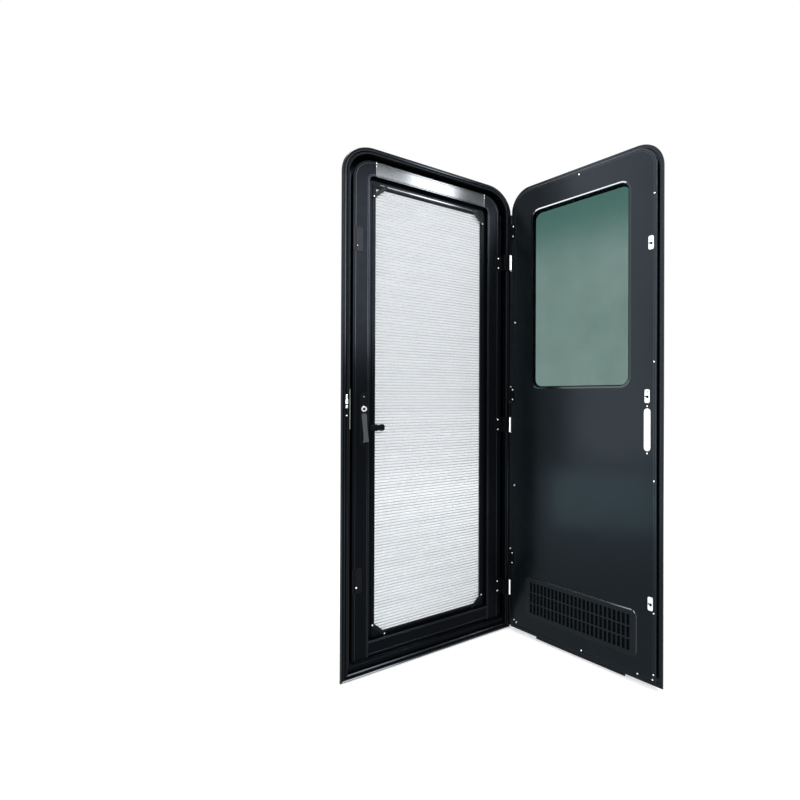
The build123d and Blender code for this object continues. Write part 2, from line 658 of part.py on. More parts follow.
with BuildPart() as window_glass:
    with BuildSketch(leaf_at(PANEL_FRONT + GLASS_THICKNESS)):
        with Locations((0, window_z)):
            RectangleRounded(
                cutout_width - 2 * GLASS_CLEARANCE,
                cutout_height - 2 * GLASS_CLEARANCE,
                cutout_radius - GLASS_CLEARANCE,
            )
    extrude(amount=GLASS_THICKNESS)
write(window_glass.part, "window_glass")

window_width = GLASS_WIDTH + 2 * WINDOW_SIDE
window_height = GLASS_HEIGHT + 2 * WINDOW_END
with BuildPart() as window_outer_frame:
    with BuildSketch(leaf_at(PANEL_FRONT)):
        with Locations((0, window_z)):
            RectangleRounded(window_width, window_height, WINDOW_RADIUS)
            RectangleRounded(GLASS_WIDTH, GLASS_HEIGHT, GLASS_RADIUS, mode=Mode.SUBTRACT)
    extrude(amount=WINDOW_PROUD)
write(window_outer_frame.part, "window_outer_frame")

with BuildPart() as window_inner_frame:
    with BuildSketch(leaf_at(PANEL_BACK + WINDOW_INNER_PROUD)):
        with Locations((0, window_z)):
            RectangleRounded(
                GLASS_WIDTH + 2 * WINDOW_INNER_BEAD,
                GLASS_HEIGHT + 2 * WINDOW_INNER_BEAD,
                GLASS_RADIUS + WINDOW_INNER_BEAD,
            )
            RectangleRounded(GLASS_WIDTH, GLASS_HEIGHT, GLASS_RADIUS, mode=Mode.SUBTRACT)
    extrude(amount=WINDOW_INNER_PROUD)
    with BuildSketch(leaf_at(PANEL_BACK)):
        with Locations((0, window_z)):
            RectangleRounded(
                cutout_width - 2 * GLASS_CLEARANCE,
                cutout_height - 2 * GLASS_CLEARANCE,
                cutout_radius - GLASS_CLEARANCE,
            )
            RectangleRounded(GLASS_WIDTH, GLASS_HEIGHT, GLASS_RADIUS, mode=Mode.SUBTRACT)
    extrude(amount=PANEL_THICKNESS - GLASS_THICKNESS)
write(window_inner_frame.part, "window_inner_frame")

VENT_SIDES = {
    "vent_outer_grille": (PANEL_FRONT, VENT_WIDTH, VENT_HEIGHT),
    "vent_inner_grille": (PANEL_BACK + VENT_PROUD, VENT_INNER_WIDTH, VENT_INNER_HEIGHT),
}
for name, (back, width, height) in VENT_SIDES.items():
    with BuildPart() as vent_grille:
        with BuildSketch(leaf_at(back)):
            with Locations((0, vent_z)):
                RectangleRounded(width, height, VENT_RADIUS)
                with GridLocations(SLOT_PITCH_X, SLOT_PITCH_Z, VENT_COLUMNS, VENT_ROWS):
                    Rectangle(SLOT_WIDTH, SLOT_HEIGHT, mode=Mode.SUBTRACT)
        extrude(amount=VENT_PROUD)
    write(vent_grille.part, name)

with BuildPart() as handle_body:
    with BuildSketch(leaf_at(PANEL_FRONT)):
        with Locations((HANDLE_X, HANDLE_Z)):
            RectangleRounded(HANDLE_WIDTH, HANDLE_HEIGHT, HANDLE_RADIUS)
    extrude(amount=HANDLE_PROUD)
    with BuildSketch(leaf_at(POCKET_FLOOR + POCKET_WALL)):
        with Locations((HANDLE_X, POCKET_Z)):
            Rectangle(tub_width, tub_height)
    extrude(amount=POCKET_DEPTH + POCKET_WALL)
    with BuildSketch(leaf_at(POCKET_FLOOR)):
        with Locations((HANDLE_X, POCKET_Z)):
            Rectangle(POCKET_WIDTH, POCKET_HEIGHT)
    extrude(amount=POCKET_DEPTH + HANDLE_PROUD, mode=Mode.SUBTRACT)
write(handle_body.part, "handle_body")

with BuildPart() as handle_cylinder:
    with BuildSketch(leaf_at(POCKET_FLOOR)):
        with Locations((HANDLE_X, HANDLE_Z + CYLINDER_ABOVE)):
            Circle(CYLINDER_RADIUS)
    extrude(amount=POCKET_DEPTH + HANDLE_PROUD)
write(handle_cylinder.part, "handle_cylinder")

with BuildPart() as handle_lever:
    with BuildSketch(leaf_at(LEVER_FRONT + LEVER_THICKNESS)):
        with Locations((HANDLE_X, LEVER_Z)):
            RectangleRounded(LEVER_WIDTH, LEVER_HEIGHT, LEVER_PIVOT_DOWN)
    extrude(amount=LEVER_THICKNESS)
    pivot_z = LEVER_TOP - LEVER_PIVOT_DOWN
    with BuildSketch(leaf_at(PIVOT_Y)):
        with Locations((HANDLE_X, pivot_z)):
            Rectangle(LEVER_WIDTH, 2 * LEVER_PIN_RADIUS)
    extrude(amount=PIVOT_Y - LEVER_FRONT)
    with BuildSketch(leaf_side(HANDLE_X, PIVOT_Y, pivot_z)):
        Circle(LEVER_PIN_RADIUS)
    extrude(amount=POCKET_WIDTH / 2 - LEVER_PIN_GAP, both=True)
write(handle_lever.part, "handle_lever")

with BuildPart() as handle_back_cover:
    with BuildSketch(leaf_at(PANEL_BACK + BACK_COVER_THICKNESS)):
        with Locations((HANDLE_X, BACK_COVER_Z)):
            SlotOverall(BACK_COVER_HEIGHT, BACK_COVER_WIDTH, rotation=90)
    extrude(amount=BACK_COVER_THICKNESS)
write(handle_back_cover.part, "handle_back_cover")

for name, (inset, catch_z) in CATCH_PLACES.items():
    with BuildPart() as door_catch:
        with BuildSketch(leaf_at(PANEL_BACK + CATCH_PLATE)):
            with Locations((-HALF_WIDTH + inset, catch_z)):
                Rectangle(CATCH_WIDTH, CATCH_HEIGHT)
        extrude(amount=CATCH_PLATE)
        with BuildSketch(leaf_at(PANEL_BACK + CATCH_PLATE + STUD_LENGTH)):
            with Locations((-HALF_WIDTH + inset, catch_z + STUD_UP)):
                Circle(STUD_RADIUS)
        extrude(amount=STUD_LENGTH)
    write(door_catch.part, f"door_catch_{name}")
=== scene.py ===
"""Looks of a caravan entry door: wall frame, screen door and outer door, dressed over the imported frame."""

import json
import logging
from collections.abc import Callable, Sequence
from dataclasses import dataclass, field
from enum import Enum
from math import acos, cos, pi, radians, sin, tan

import bmesh
import bpy
from mathutils import Matrix, Vector


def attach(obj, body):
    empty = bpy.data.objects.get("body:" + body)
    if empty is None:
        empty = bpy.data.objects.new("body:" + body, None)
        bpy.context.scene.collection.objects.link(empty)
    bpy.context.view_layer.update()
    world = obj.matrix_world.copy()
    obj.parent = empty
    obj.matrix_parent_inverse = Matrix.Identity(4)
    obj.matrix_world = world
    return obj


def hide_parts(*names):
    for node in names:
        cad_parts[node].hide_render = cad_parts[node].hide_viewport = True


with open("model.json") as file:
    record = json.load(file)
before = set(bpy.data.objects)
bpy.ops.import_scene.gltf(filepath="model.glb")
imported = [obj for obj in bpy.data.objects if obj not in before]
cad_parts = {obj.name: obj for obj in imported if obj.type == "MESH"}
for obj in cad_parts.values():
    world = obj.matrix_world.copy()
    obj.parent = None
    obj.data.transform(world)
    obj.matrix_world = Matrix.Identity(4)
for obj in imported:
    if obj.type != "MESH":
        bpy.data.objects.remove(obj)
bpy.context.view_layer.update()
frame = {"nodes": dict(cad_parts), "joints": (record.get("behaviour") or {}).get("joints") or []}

MM = 0.001
ARC_STEPS = 14
SMOOTH_ANGLE = radians(38)
log = logging.getLogger("caravan_door")

Point2 = tuple[float, float]
Ring = list[Vector]


class Body(Enum):
    """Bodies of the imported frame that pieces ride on."""

    FRAME = "frame"
    SCREEN = "screen_door"
    LEAF = "outer_door"
    LEVER = "handle_lever"

    @property
    def place(self) -> "Place":
        """Where pieces on this body rest."""
        return STANDING if self in (Body.FRAME, Body.SCREEN) else HINGED


@dataclass(frozen=True)
class Span:
    """Box in millimetres, in the closed door's coordinates."""

    low: Vector
    high: Vector

    @property
    def middle(self) -> Vector:
        """Centre of the box."""
        return (self.low + self.high) / 2

    @property
    def size(self) -> Vector:
        """Extent of the box along each axis."""
        return self.high - self.low


@dataclass(frozen=True)
class Place:
    """Where pieces drawn in the closed door's coordinates come to rest."""

    matrix: Matrix

    def span(self, node: str) -> Span:
        """Box of a CAD node as it would be on the closed door.

        Args:
            node: Name of the CAD node.

        Returns:
            The node's box in millimetres.
        """
        back = self.matrix.inverted()
        points = [back @ vertex.co / MM for vertex in frame["nodes"][node].data.vertices]
        low = Vector(min(point[axis] for point in points) for axis in range(3))
        high = Vector(max(point[axis] for point in points) for axis in range(3))
        return Span(low, high)


def hinged_place() -> Place:
    """Place of the outer door: turned about the hinge line to where it rests.

    Returns:
        The outer door's place.
    """
    swing = next(joint for joint in frame["joints"] if joint["child"] == Body.LEAF.value)
    pivot = Matrix.Translation(Vector(swing["pos_m"]))
    turn = Matrix.Rotation(radians(-swing["range_deg"][0]), 4, "Z")
    return Place(pivot @ turn @ pivot.inverted())


STANDING = Place(Matrix.Identity(4))
HINGED = hinged_place()


def rounded(corners: Sequence[tuple[float, float, float]], steps: int = 4) -> list[Point2]:
    """Closed profile whose corners are turned into arcs.

    Args:
        corners: Corners as (inset, depth, radius).
        steps: Pieces that each arc is divided into.

    Returns:
        Points of the profile in order.
    """
    profile: list[Point2] = []
    for index, (x, y, radius) in enumerate(corners):
        corner = Vector((x, y))
        before = (Vector(corners[index - 1][:2]) - corner).normalized()
        after = (Vector(corners[(index + 1) % len(corners)][:2]) - corner).normalized()
        opening = acos(max(-1.0, min(1.0, before.dot(after))))
        if radius <= 0 or opening > pi - 0.01:
            profile.append((x, y))
            continue
        centre = corner + (before + after).normalized() * radius / sin(opening / 2)
        reach = radius / tan(opening / 2)
        start, end = corner + before * reach - centre, corner + after * reach - centre
        for step in range(steps + 1):
            arm = start.lerp(end, step / steps).normalized() * radius
            profile.append((centre.x + arm.x, centre.y + arm.y))
    return profile


def rounded_rectangle(centre: Point2, size: Point2, radius: float, steps: int = 8) -> list[Point2]:
    """Closed outline of a rectangle with round corners.

    Args:
        centre: Middle of the rectangle in x and z.
        size: Width and height.
        radius: Corner radius.
        steps: Pieces that each corner is divided into.

    Returns:
        Points of the outline, anticlockwise from the lower right corner.
    """
    half_x, half_z = size[0] / 2 - radius, size[1] / 2 - radius
    outline = []
    for quarter, (side, rise) in enumerate(((1, -1), (1, 1), (-1, 1), (-1, -1))):
        for step in range(steps + 1):
            angle = (quarter - 1 + step / steps) * pi / 2
            outline.append((centre[0] + side * half_x + radius * cos(angle),
                            centre[1] + rise * half_z + radius * sin(angle)))
    return outline


@dataclass(frozen=True)
class Oblong:
    """Rectangle with round corners, in x and z."""

    centre: Point2
    size: Point2
    radius: float

    def outline(self) -> list[Point2]:
        """Points of the outline."""
        return rounded_rectangle(self.centre, self.size, self.radius)

    def grown(self, margin: float) -> "Oblong":
        """The same shape, larger by a margin all round."""
        return Oblong(self.centre, (self.size[0] + 2 * margin, self.size[1] + 2 * margin), self.radius + margin)

    def towards(self, other: "Oblong", share: float) -> "Oblong":
        """Outline part of the way to another one.

        Args:
            other: Outline at share 1.
            share: Part of the way.

        Returns:
            The outline in between.
        """
        def between(a: float, b: float) -> float:
            """Value at the share."""
            return a + (b - a) * share

        return Oblong((between(self.centre[0], other.centre[0]), between(self.centre[1], other.centre[1])),
                      (between(self.size[0], other.size[0]), between(self.size[1], other.size[1])),
                      max(between(self.radius, other.radius), 0.3))


@dataclass(frozen=True)
class Arch:
    """Door outline with rounded top corners, each side inset by its own amount."""

    span: Span
    radius: float
    latch: float = 0.0
    hinge: float = 0.0
    head: float = 0.0
    foot: float = 0.0

    def line(self, inset: float, foot_inset: float | None = None) -> list[Point2]:
        """Line from the latch side's foot over the top to the hinge side's foot.

        Args:
            inset: Distance inwards from this outline.
            foot_inset: Distance upwards at the foot, if it isn't the same.

        Returns:
            Points of the line in x and z.
        """
        left = self.span.low.x + self.latch + inset
        right = self.span.high.x - self.hinge - inset
        high = self.span.high.z - self.head - inset
        low = self.span.low.z + self.foot + (inset if foot_inset is None else foot_inset)
        radius = self.radius - self.head - inset
        angles = [step / ARC_STEPS * pi / 2 for step in range(ARC_STEPS + 1)]
        first = [(left + radius * (1 - cos(a)), high - radius * (1 - sin(a))) for a in angles]
        last = [(right - radius * (1 - sin(a)), high - radius * (1 - cos(a))) for a in angles]
        return [(left, low), *first, *last, (right, low)]

    def foot_line(self, inset: float) -> list[Point2]:
        """Line along the foot, from the hinge side to the latch side."""
        line = self.line(inset)
        return [line[-1], line[0]]


class Shape:
    """Mesh drawn in millimetres in the closed door's coordinates."""

    def __init__(self) -> None:
        """Start an empty mesh."""
        self.mesh = bmesh.new()

    def loft(self, rings: Sequence[Ring], wrap: bool = False, finish: int = 0) -> "Shape":
        """Skin over closed rings of equally many points.

        Args:
            rings: Rings in order.
            wrap: Whether the last ring joins the first. Otherwise both ends are closed.
            finish: Index of the finish on these faces.

        Returns:
            This shape.
        """
        rows = [[self.mesh.verts.new(point) for point in ring] for ring in rings]
        pairs = list(zip(rows, rows[1:] + rows[:1])) if wrap else list(zip(rows, rows[1:]))
        faces = []
        for row, following in pairs:
            for index in range(len(row)):
                after = (index + 1) % len(row)
                faces.append(self.mesh.faces.new((row[index], row[after], following[after], following[index])))
        if not wrap:
            faces += [self.mesh.faces.new(list(reversed(rows[0]))), self.mesh.faces.new(rows[-1])]
        for face in faces:
            face.material_index = finish
        return self

    def sweep(self, profile: Sequence[Point2], line: Callable[[float], list[Point2]],
              wrap: bool = False, finish: int = 0) -> "Shape":
        """Carry a profile of insets and depths along a line.

        Args:
            profile: Closed profile as (inset, depth).
            line: Gives the line for an inset.
            wrap: Whether the line is closed.
            finish: Index of the finish on these faces.

        Returns:
            This shape.
        """
        lines = [line(inset) for inset, _ in profile]
        rings = [[Vector((lines[j][i][0], profile[j][1], lines[j][i][1])) for j in range(len(profile))]
                 for i in range(len(lines[0]))]
        return self.loft(rings, wrap=wrap, finish=finish)

    def plate(self, centre: Point2, size: Point2, radius: float, back: float, front: float,
              edge: float = 0.6, finish: int = 0, turn: float = 0.0) -> "Shape":
        """Plate with round corners and a rounded front edge.

        Args:
            centre: Middle in x and z.
            size: Width and height.
            radius: Corner radius.
            back: Depth of its back.
            front: Depth of its front.
            edge: Radius of the front edge.
            finish: Index of the finish on these faces.
            turn: Degrees that it is turned in its own plane.

        Returns:
            This shape.
        """
        towards = 1 if back > front else -1
        ahead, aside = cos(radians(turn)), sin(radians(turn))
        stations = [(0.0, back)]
        for step in range(4):
            angle = step / 3 * pi / 2
            stations.append((edge * (1 - cos(angle)), front + towards * edge * (1 - sin(angle))))
        rings = []
        for inset, depth in stations:
            outline = rounded_rectangle((0, 0), (size[0] - 2 * inset, size[1] - 2 * inset), max(radius - inset, 0.05))
            rings.append([Vector((centre[0] + x * ahead - z * aside, depth, centre[1] + x * aside + z * ahead))
                          for x, z in outline])
        return self.loft(rings, finish=finish)

    def ring(self, outer: Oblong, inner: Oblong, profile: Sequence[Point2], finish: int = 0) -> "Shape":
        """Closed border between two rounded rectangles.

        Args:
            outer: Outer outline.
            inner: Inner outline.
            profile: Closed profile as (share of the way inwards, depth).
            finish: Index of the finish on these faces.

        Returns:
            This shape.
        """
        return self.sweep(profile, lambda share: outer.towards(inner, share).outline(), wrap=True, finish=finish)

    def lathe(self, origin: Vector, axis: Vector, profile: Sequence[Point2], finish: int = 0,
              sides: int = 28) -> "Shape":
        """Turn a profile about an axis.

        Args:
            origin: Point on the axis.
            axis: Direction of the axis.
            profile: Points as (radius, distance along the axis), from one end to the other.
            finish: Index of the finish on these faces.
            sides: Pieces that the round is divided into.

        Returns:
            This shape.
        """
        turn = axis.to_track_quat("Z", "Y")
        rings = []
        for radius, along in profile:
            ring = [Vector((radius * cos(i / sides * 2 * pi), radius * sin(i / sides * 2 * pi), along))
                    for i in range(sides)]
            rings.append([origin + turn @ point for point in ring])
        return self.loft(rings, finish=finish)

    def prism(self, outline: Sequence[Point2], low: float, high: float, finish: int = 0) -> "Shape":
        """Upright prism over a level outline.

        Args:
            outline: Closed outline in x and y.
            low: Height of its foot.
            high: Height of its top.
            finish: Index of the finish on these faces.

        Returns:
            This shape.
        """
        edge = 0.4
        heights = (low, low + edge, high - edge, high)
        return self.loft([[Vector((x, y, z)) for x, y in outline] for z in heights], finish=finish)

    def make(self, name: str, place: Place, finishes: Sequence["Finish"]) -> bpy.types.Object:
        """Turn the drawing into an object at its resting place.

        Args:
            name: Name of the piece.
            place: Where the piece rests.
            finishes: Finishes in the order of their indices.

        Returns:
            The finished object, with its place in its mesh.
        """
        bmesh.ops.recalc_face_normals(self.mesh, faces=self.mesh.faces)
        self.mesh.transform(place.matrix @ Matrix.Scale(MM, 4))
        mesh = bpy.data.meshes.new(name)
        self.mesh.to_mesh(mesh)
        self.mesh.free()
        mesh.shade_smooth()
        mesh.set_sharp_from_angle(angle=SMOOTH_ANGLE)
        for finish in finishes:
            mesh.materials.append(finish.material())
        piece = bpy.data.objects.new(name, mesh)
        bpy.context.scene.collection.objects.link(piece)
        return flattened(piece)


def flattened(piece: bpy.types.Object) -> bpy.types.Object:
    """Weight a piece's normals by face area, so that flats beside a rounding stay flat.

    Args:
        piece: Piece to work on.

    Returns:
        The same piece, with the normals in its mesh.
    """
    weigh = piece.modifiers.new("flat_faces", "WEIGHTED_NORMAL")
    weigh.keep_sharp = True
    drawn = piece.data
    piece.data = bpy.data.meshes.new_from_object(piece.evaluated_get(bpy.context.evaluated_depsgraph_get()))
    piece.data.name = drawn.name
    piece.modifiers.clear()
    bpy.data.meshes.remove(drawn)
    return piece


@dataclass(frozen=True)
class Finish:
    """Surface finish with mottled colour, uneven gloss and fine relief on Object coordinates."""

    name: str
    slot: str
    colour: tuple[float, float, float]
    second: tuple[float, float, float]
    gloss: tuple[float, float] = (0.3, 0.4)
    metallic: float = 0.0
    specular: float = 0.5
    mottle: float = 10.0
    grain: float = 1400.0
    relief: float = 0.04
    stretch: tuple[float, float, float] = (1.0, 1.0, 1.0)
    tint: tuple[float, float, float] = (1.0, 1.0, 1.0)

    def material(self) -> bpy.types.Material:
        """Material of this finish, made on first use.

        Returns:
            The Blender material.
        """
        found = bpy.data.materials.get(self.name)
        if found:
            return found
        material = bpy.data.materials.new(self.name)
        material.use_nodes = True
        tree = material.node_tree
        shader = tree.nodes["Principled BSDF"]
        shader.inputs["Metallic"].default_value = self.metallic
        shader.inputs["Specular IOR Level"].default_value = self.specular
        shader.inputs["Specular Tint"].default_value = (*self.tint, 1.0)
        place = self.coordinates(tree)
        clouds = self.noise(tree, place, self.mottle, 4.0)
        blend = tree.nodes.new("ShaderNodeMix")
        blend.data_type = "RGBA"
        blend.inputs[6].default_value = (*self.colour, 1.0)
        blend.inputs[7].default_value = (*self.second, 1.0)
        tree.links.new(clouds.outputs["Fac"], blend.inputs[0])
        tree.links.new(blend.outputs[2], shader.inputs["Base Color"])
        smears = self.noise(tree, place, self.mottle * 3.1, 6.0)
        spread = tree.nodes.new("ShaderNodeMapRange")
        spread.inputs["From Min"].default_value = 0.3
        spread.inputs["From Max"].default_value = 0.7
        spread.inputs["To Min"].default_value = self.gloss[0]
        spread.inputs["To Max"].default_value = self.gloss[1]
        tree.links.new(smears.outputs["Fac"], spread.inputs["Value"])
        tree.links.new(spread.outputs["Result"], shader.inputs["Roughness"])
        bump = tree.nodes.new("ShaderNodeBump")
        bump.inputs["Strength"].default_value = self.relief
        bump.inputs["Distance"].default_value = 0.0004
        pits = self.noise(tree, place, self.grain, 2.0)
        tree.links.new(pits.outputs["Fac"], bump.inputs["Height"])
        tree.links.new(bump.outputs["Normal"], shader.inputs["Normal"])
        self.refine(tree, shader)
        return material

    def coordinates(self, tree: bpy.types.NodeTree) -> bpy.types.NodeSocket:
        """Object coordinates, stretched along the grain of the finish.

        Args:
            tree: Node tree of the material.

        Returns:
            Socket that gives the coordinates.
        """
        source = tree.nodes.new("ShaderNodeTexCoord")
        mapping = tree.nodes.new("ShaderNodeMapping")
        mapping.inputs["Scale"].default_value = self.stretch
        tree.links.new(source.outputs["Object"], mapping.inputs["Vector"])
        return mapping.outputs["Vector"]

    def noise(self, tree: bpy.types.NodeTree, place: bpy.types.NodeSocket, scale: float,
              detail: float) -> bpy.types.Node:
        """Noise texture in the material.

        Args:
            tree: Node tree of the material.
            place: Socket that gives the coordinates.
            scale: Waves in a metre.
            detail: Number of finer layers.

        Returns:
            The noise node.
        """
        noise = tree.nodes.new("ShaderNodeTexNoise")
        noise.inputs["Scale"].default_value = scale
        noise.inputs["Detail"].default_value = detail
        tree.links.new(place, noise.inputs["Vector"])
        return noise

    def refine(self, tree: bpy.types.NodeTree, shader: bpy.types.Node) -> None:
        """Hook for finishes that need more than colour, gloss and relief."""


@dataclass(frozen=True)
class Glazing(Finish):
    """Tinted glazing that shows what is behind it, with painted shade: its tint is darker towards its top."""

    # shade is the darker tint at the top of the sheet, which is painted shade.
    shade: tuple[float, float, float] = (0.10, 0.19, 0.17)
    shade_from: float = 1.42
    shade_to: float = 1.68
    bend: float = 1.03

    def refine(self, tree: bpy.types.NodeTree, shader: bpy.types.Node) -> None:
        """Let light through the sheet and darken its tint towards the top, a painted shade.

        Args:
            tree: Node tree of the material.
            shader: Its shader.
        """
        shader.inputs["Transmission Weight"].default_value = 1.0
        shader.inputs["IOR"].default_value = self.bend
        tint = shader.inputs["Base Color"].links[0].from_socket
        # Painted shade: the tint is mixed towards the shade colour between shade_from and shade_to in height.
        source = tree.nodes.new("ShaderNodeTexCoord")
        split = tree.nodes.new("ShaderNodeSeparateXYZ")
        tree.links.new(source.outputs["Object"], split.inputs[0])
        height = tree.nodes.new("ShaderNodeMapRange")
        height.interpolation_type = "SMOOTHSTEP"
        height.inputs["From Min"].default_value = self.shade_from
        height.inputs["From Max"].default_value = self.shade_to
        tree.links.new(split.outputs["Z"], height.inputs["Value"])
        grade = tree.nodes.new("ShaderNodeMix")
        grade.data_type = "RGBA"
        grade.inputs[7].default_value = (*self.shade, 1.0)
        tree.links.new(height.outputs["Result"], grade.inputs[0])
        tree.links.new(tint, grade.inputs[6])
        tree.links.new(grade.outputs[2], shader.inputs["Base Color"])


BLUE_SHEEN = (0.71, 0.80, 1.0)
SLATE_SHEEN = (0.68, 0.83, 1.0)
POWDER_COAT = Finish("satin_powder_coat", "black_coat", (0.0010, 0.0013, 0.0017), (0.0015, 0.0019, 0.0024),
                     gloss=(0.20, 0.26), specular=0.046, tint=BLUE_SHEEN)
EDGE_COAT = Finish("edge_powder_coat", "black_coat", (0.0014, 0.0019, 0.0023), (0.0020, 0.0026, 0.0031),
                   gloss=(0.18, 0.24), specular=0.15, tint=SLATE_SHEEN)
BEAD_COAT = Finish("bead_powder_coat", "black_coat", (0.0014, 0.0019, 0.0023), (0.0020, 0.0026, 0.0031),
                   gloss=(0.15, 0.20), specular=0.22, tint=SLATE_SHEEN)
POLISHED_COAT = Finish("polished_coat", "black_coat", (0.0020, 0.0026, 0.0031), (0.0028, 0.0034, 0.0040),
                       gloss=(0.09, 0.12), specular=1.0, relief=0.01, tint=(0.80, 0.92, 1.0))
KEEPER_PLASTIC = Finish("keeper_moulding", "black_plastic", (0.0018, 0.0019, 0.0022), (0.0028, 0.0029, 0.0033),
                        gloss=(0.24, 0.32), specular=0.085, mottle=25.0, tint=(0.80, 0.82, 1.0))
GLOSS_COAT = Finish("gloss_powder_coat", "black_coat", (0.0028, 0.0034, 0.0042), (0.0038, 0.0046, 0.0056),
                    gloss=(0.12, 0.15), specular=0.50, mottle=4.0, relief=0.01, tint=(0.88, 0.94, 1.0))
PANEL_SKIN = Finish("coated_panel_skin", "panel_skin", (0.0012, 0.0020, 0.0024), (0.0018, 0.0029, 0.0034),
                    gloss=(0.15, 0.20), specular=0.125, mottle=2.5, grain=700.0, relief=0.006, tint=SLATE_SHEEN)
HINGE_COAT = Finish("hinge_paint", "hinge_coat", (0.0016, 0.0019, 0.0023), (0.0026, 0.0030, 0.0036),
                    gloss=(0.26, 0.36), specular=0.03, mottle=30.0, tint=BLUE_SHEEN)
RUBBER = Finish("soft_rubber", "seal_rubber", (0.0016, 0.0019, 0.0023), (0.0028, 0.0032, 0.0038),
                gloss=(0.32, 0.44), specular=0.12, mottle=40.0, grain=900.0, relief=0.08, tint=BLUE_SHEEN)
# Near-black finish for painted shade: the sheet behind the vent slots, the shadow line beside the door's trim and the
# holes in the catches.
PAINTED_SHADE_BLACK = Finish("fine_net", "black_plastic", (0.0012, 0.0015, 0.0018), (0.0020, 0.0024, 0.0028),
                  gloss=(0.60, 0.80), specular=0.02, mottle=40.0, grain=1600.0, relief=0.10)
BLACK_PLASTIC = Finish("moulded_black", "black_plastic", (0.0016, 0.0020, 0.0024), (0.0026, 0.0032, 0.0037),
                       gloss=(0.30, 0.42), specular=0.05, mottle=25.0, grain=2400.0, relief=0.05, tint=BLUE_SHEEN)
GREY_PLASTIC = Finish("moulded_grey", "grey_plastic", (0.028, 0.032, 0.036), (0.040, 0.045, 0.050),
                      gloss=(0.36, 0.50), specular=0.20, mottle=35.0, grain=2200.0, relief=0.06)
WHITE_PLASTIC = Finish("moulded_white", "white_plastic", (0.74, 0.75, 0.76), (0.80, 0.80, 0.81),
                       gloss=(0.32, 0.45), specular=0.45, mottle=35.0, grain=2200.0, relief=0.03)
CHROME = Finish("bright_chrome", "chrome_steel", (0.80, 0.81, 0.82), (0.88, 0.88, 0.89),
                gloss=(0.07, 0.16), metallic=1.0, mottle=30.0, relief=0.01)
PLATED_ZINC = Finish("plated_zinc", "bright_steel", (0.52, 0.56, 0.59), (0.64, 0.67, 0.70),
                     gloss=(0.46, 0.56), metallic=1.0, mottle=60.0, grain=300.0, relief=0.02)
BRIGHT_STEEL = Finish("plated_steel", "bright_steel", (0.66, 0.67, 0.68), (0.80, 0.80, 0.81),
                      gloss=(0.18, 0.34), metallic=1.0, mottle=60.0, grain=900.0, relief=0.03,
                      stretch=(1.0, 1.0, 0.15))
GREY_STEEL = Finish("dull_zinc", "bright_steel", (0.17, 0.19, 0.17), (0.24, 0.26, 0.24),
                    gloss=(0.42, 0.56), metallic=0.3, mottle=60.0, grain=900.0, relief=0.03)
DARK_STEEL = Finish("blackened_steel", "bright_steel", (0.0030, 0.0034, 0.0036), (0.0046, 0.0051, 0.0054),
                    gloss=(0.26, 0.40), specular=0.07, mottle=50.0, grain=1200.0, relief=0.03)
SEAM_COAT = Finish("joint_strip", "black_coat", (0.040, 0.044, 0.050), (0.070, 0.076, 0.084),
                   gloss=(0.25, 0.38), specular=0.5, mottle=40.0)
VENT_PLASTIC = Finish("vent_moulding", "black_plastic", (0.0018, 0.0027, 0.0030), (0.0026, 0.0037, 0.0041),
                      gloss=(0.22, 0.30), specular=0.14, mottle=18.0, grain=2400.0, relief=0.02, tint=SLATE_SHEEN)
MESH_WIRE = Finish("woven_mesh_wire", "mesh_wire", (0.31, 0.335, 0.365), (0.39, 0.415, 0.445),
                   gloss=(0.38, 0.5), metallic=0.2, mottle=14.0, grain=1800.0, relief=0.03)
MESH_BAND = Finish("woven_mesh_band", "mesh_wire", (0.33, 0.35, 0.375), (0.39, 0.41, 0.435),
                   gloss=(0.40, 0.55), metallic=0.1, mottle=14.0, grain=1800.0, relief=0.03)
# Both glazings carry painted shade: their shade colour darkens the tint towards the top.
TINTED_GLASS = Glazing("tinted_glazing", "tinted_glass", (0.128, 0.228, 0.175), (0.335, 0.412, 0.436),
                       gloss=(0.01, 0.02), mottle=3.2, grain=20.0, relief=0.004, shade=(0.092, 0.196, 0.176))
CLEAR_GLASS = Glazing("clear_glazing", "tinted_glass", (0.74, 0.80, 0.77), (0.80, 0.85, 0.82),
                      gloss=(0.01, 0.02), mottle=4.5, grain=20.0, relief=0.004, shade=(0.70, 0.77, 0.74))


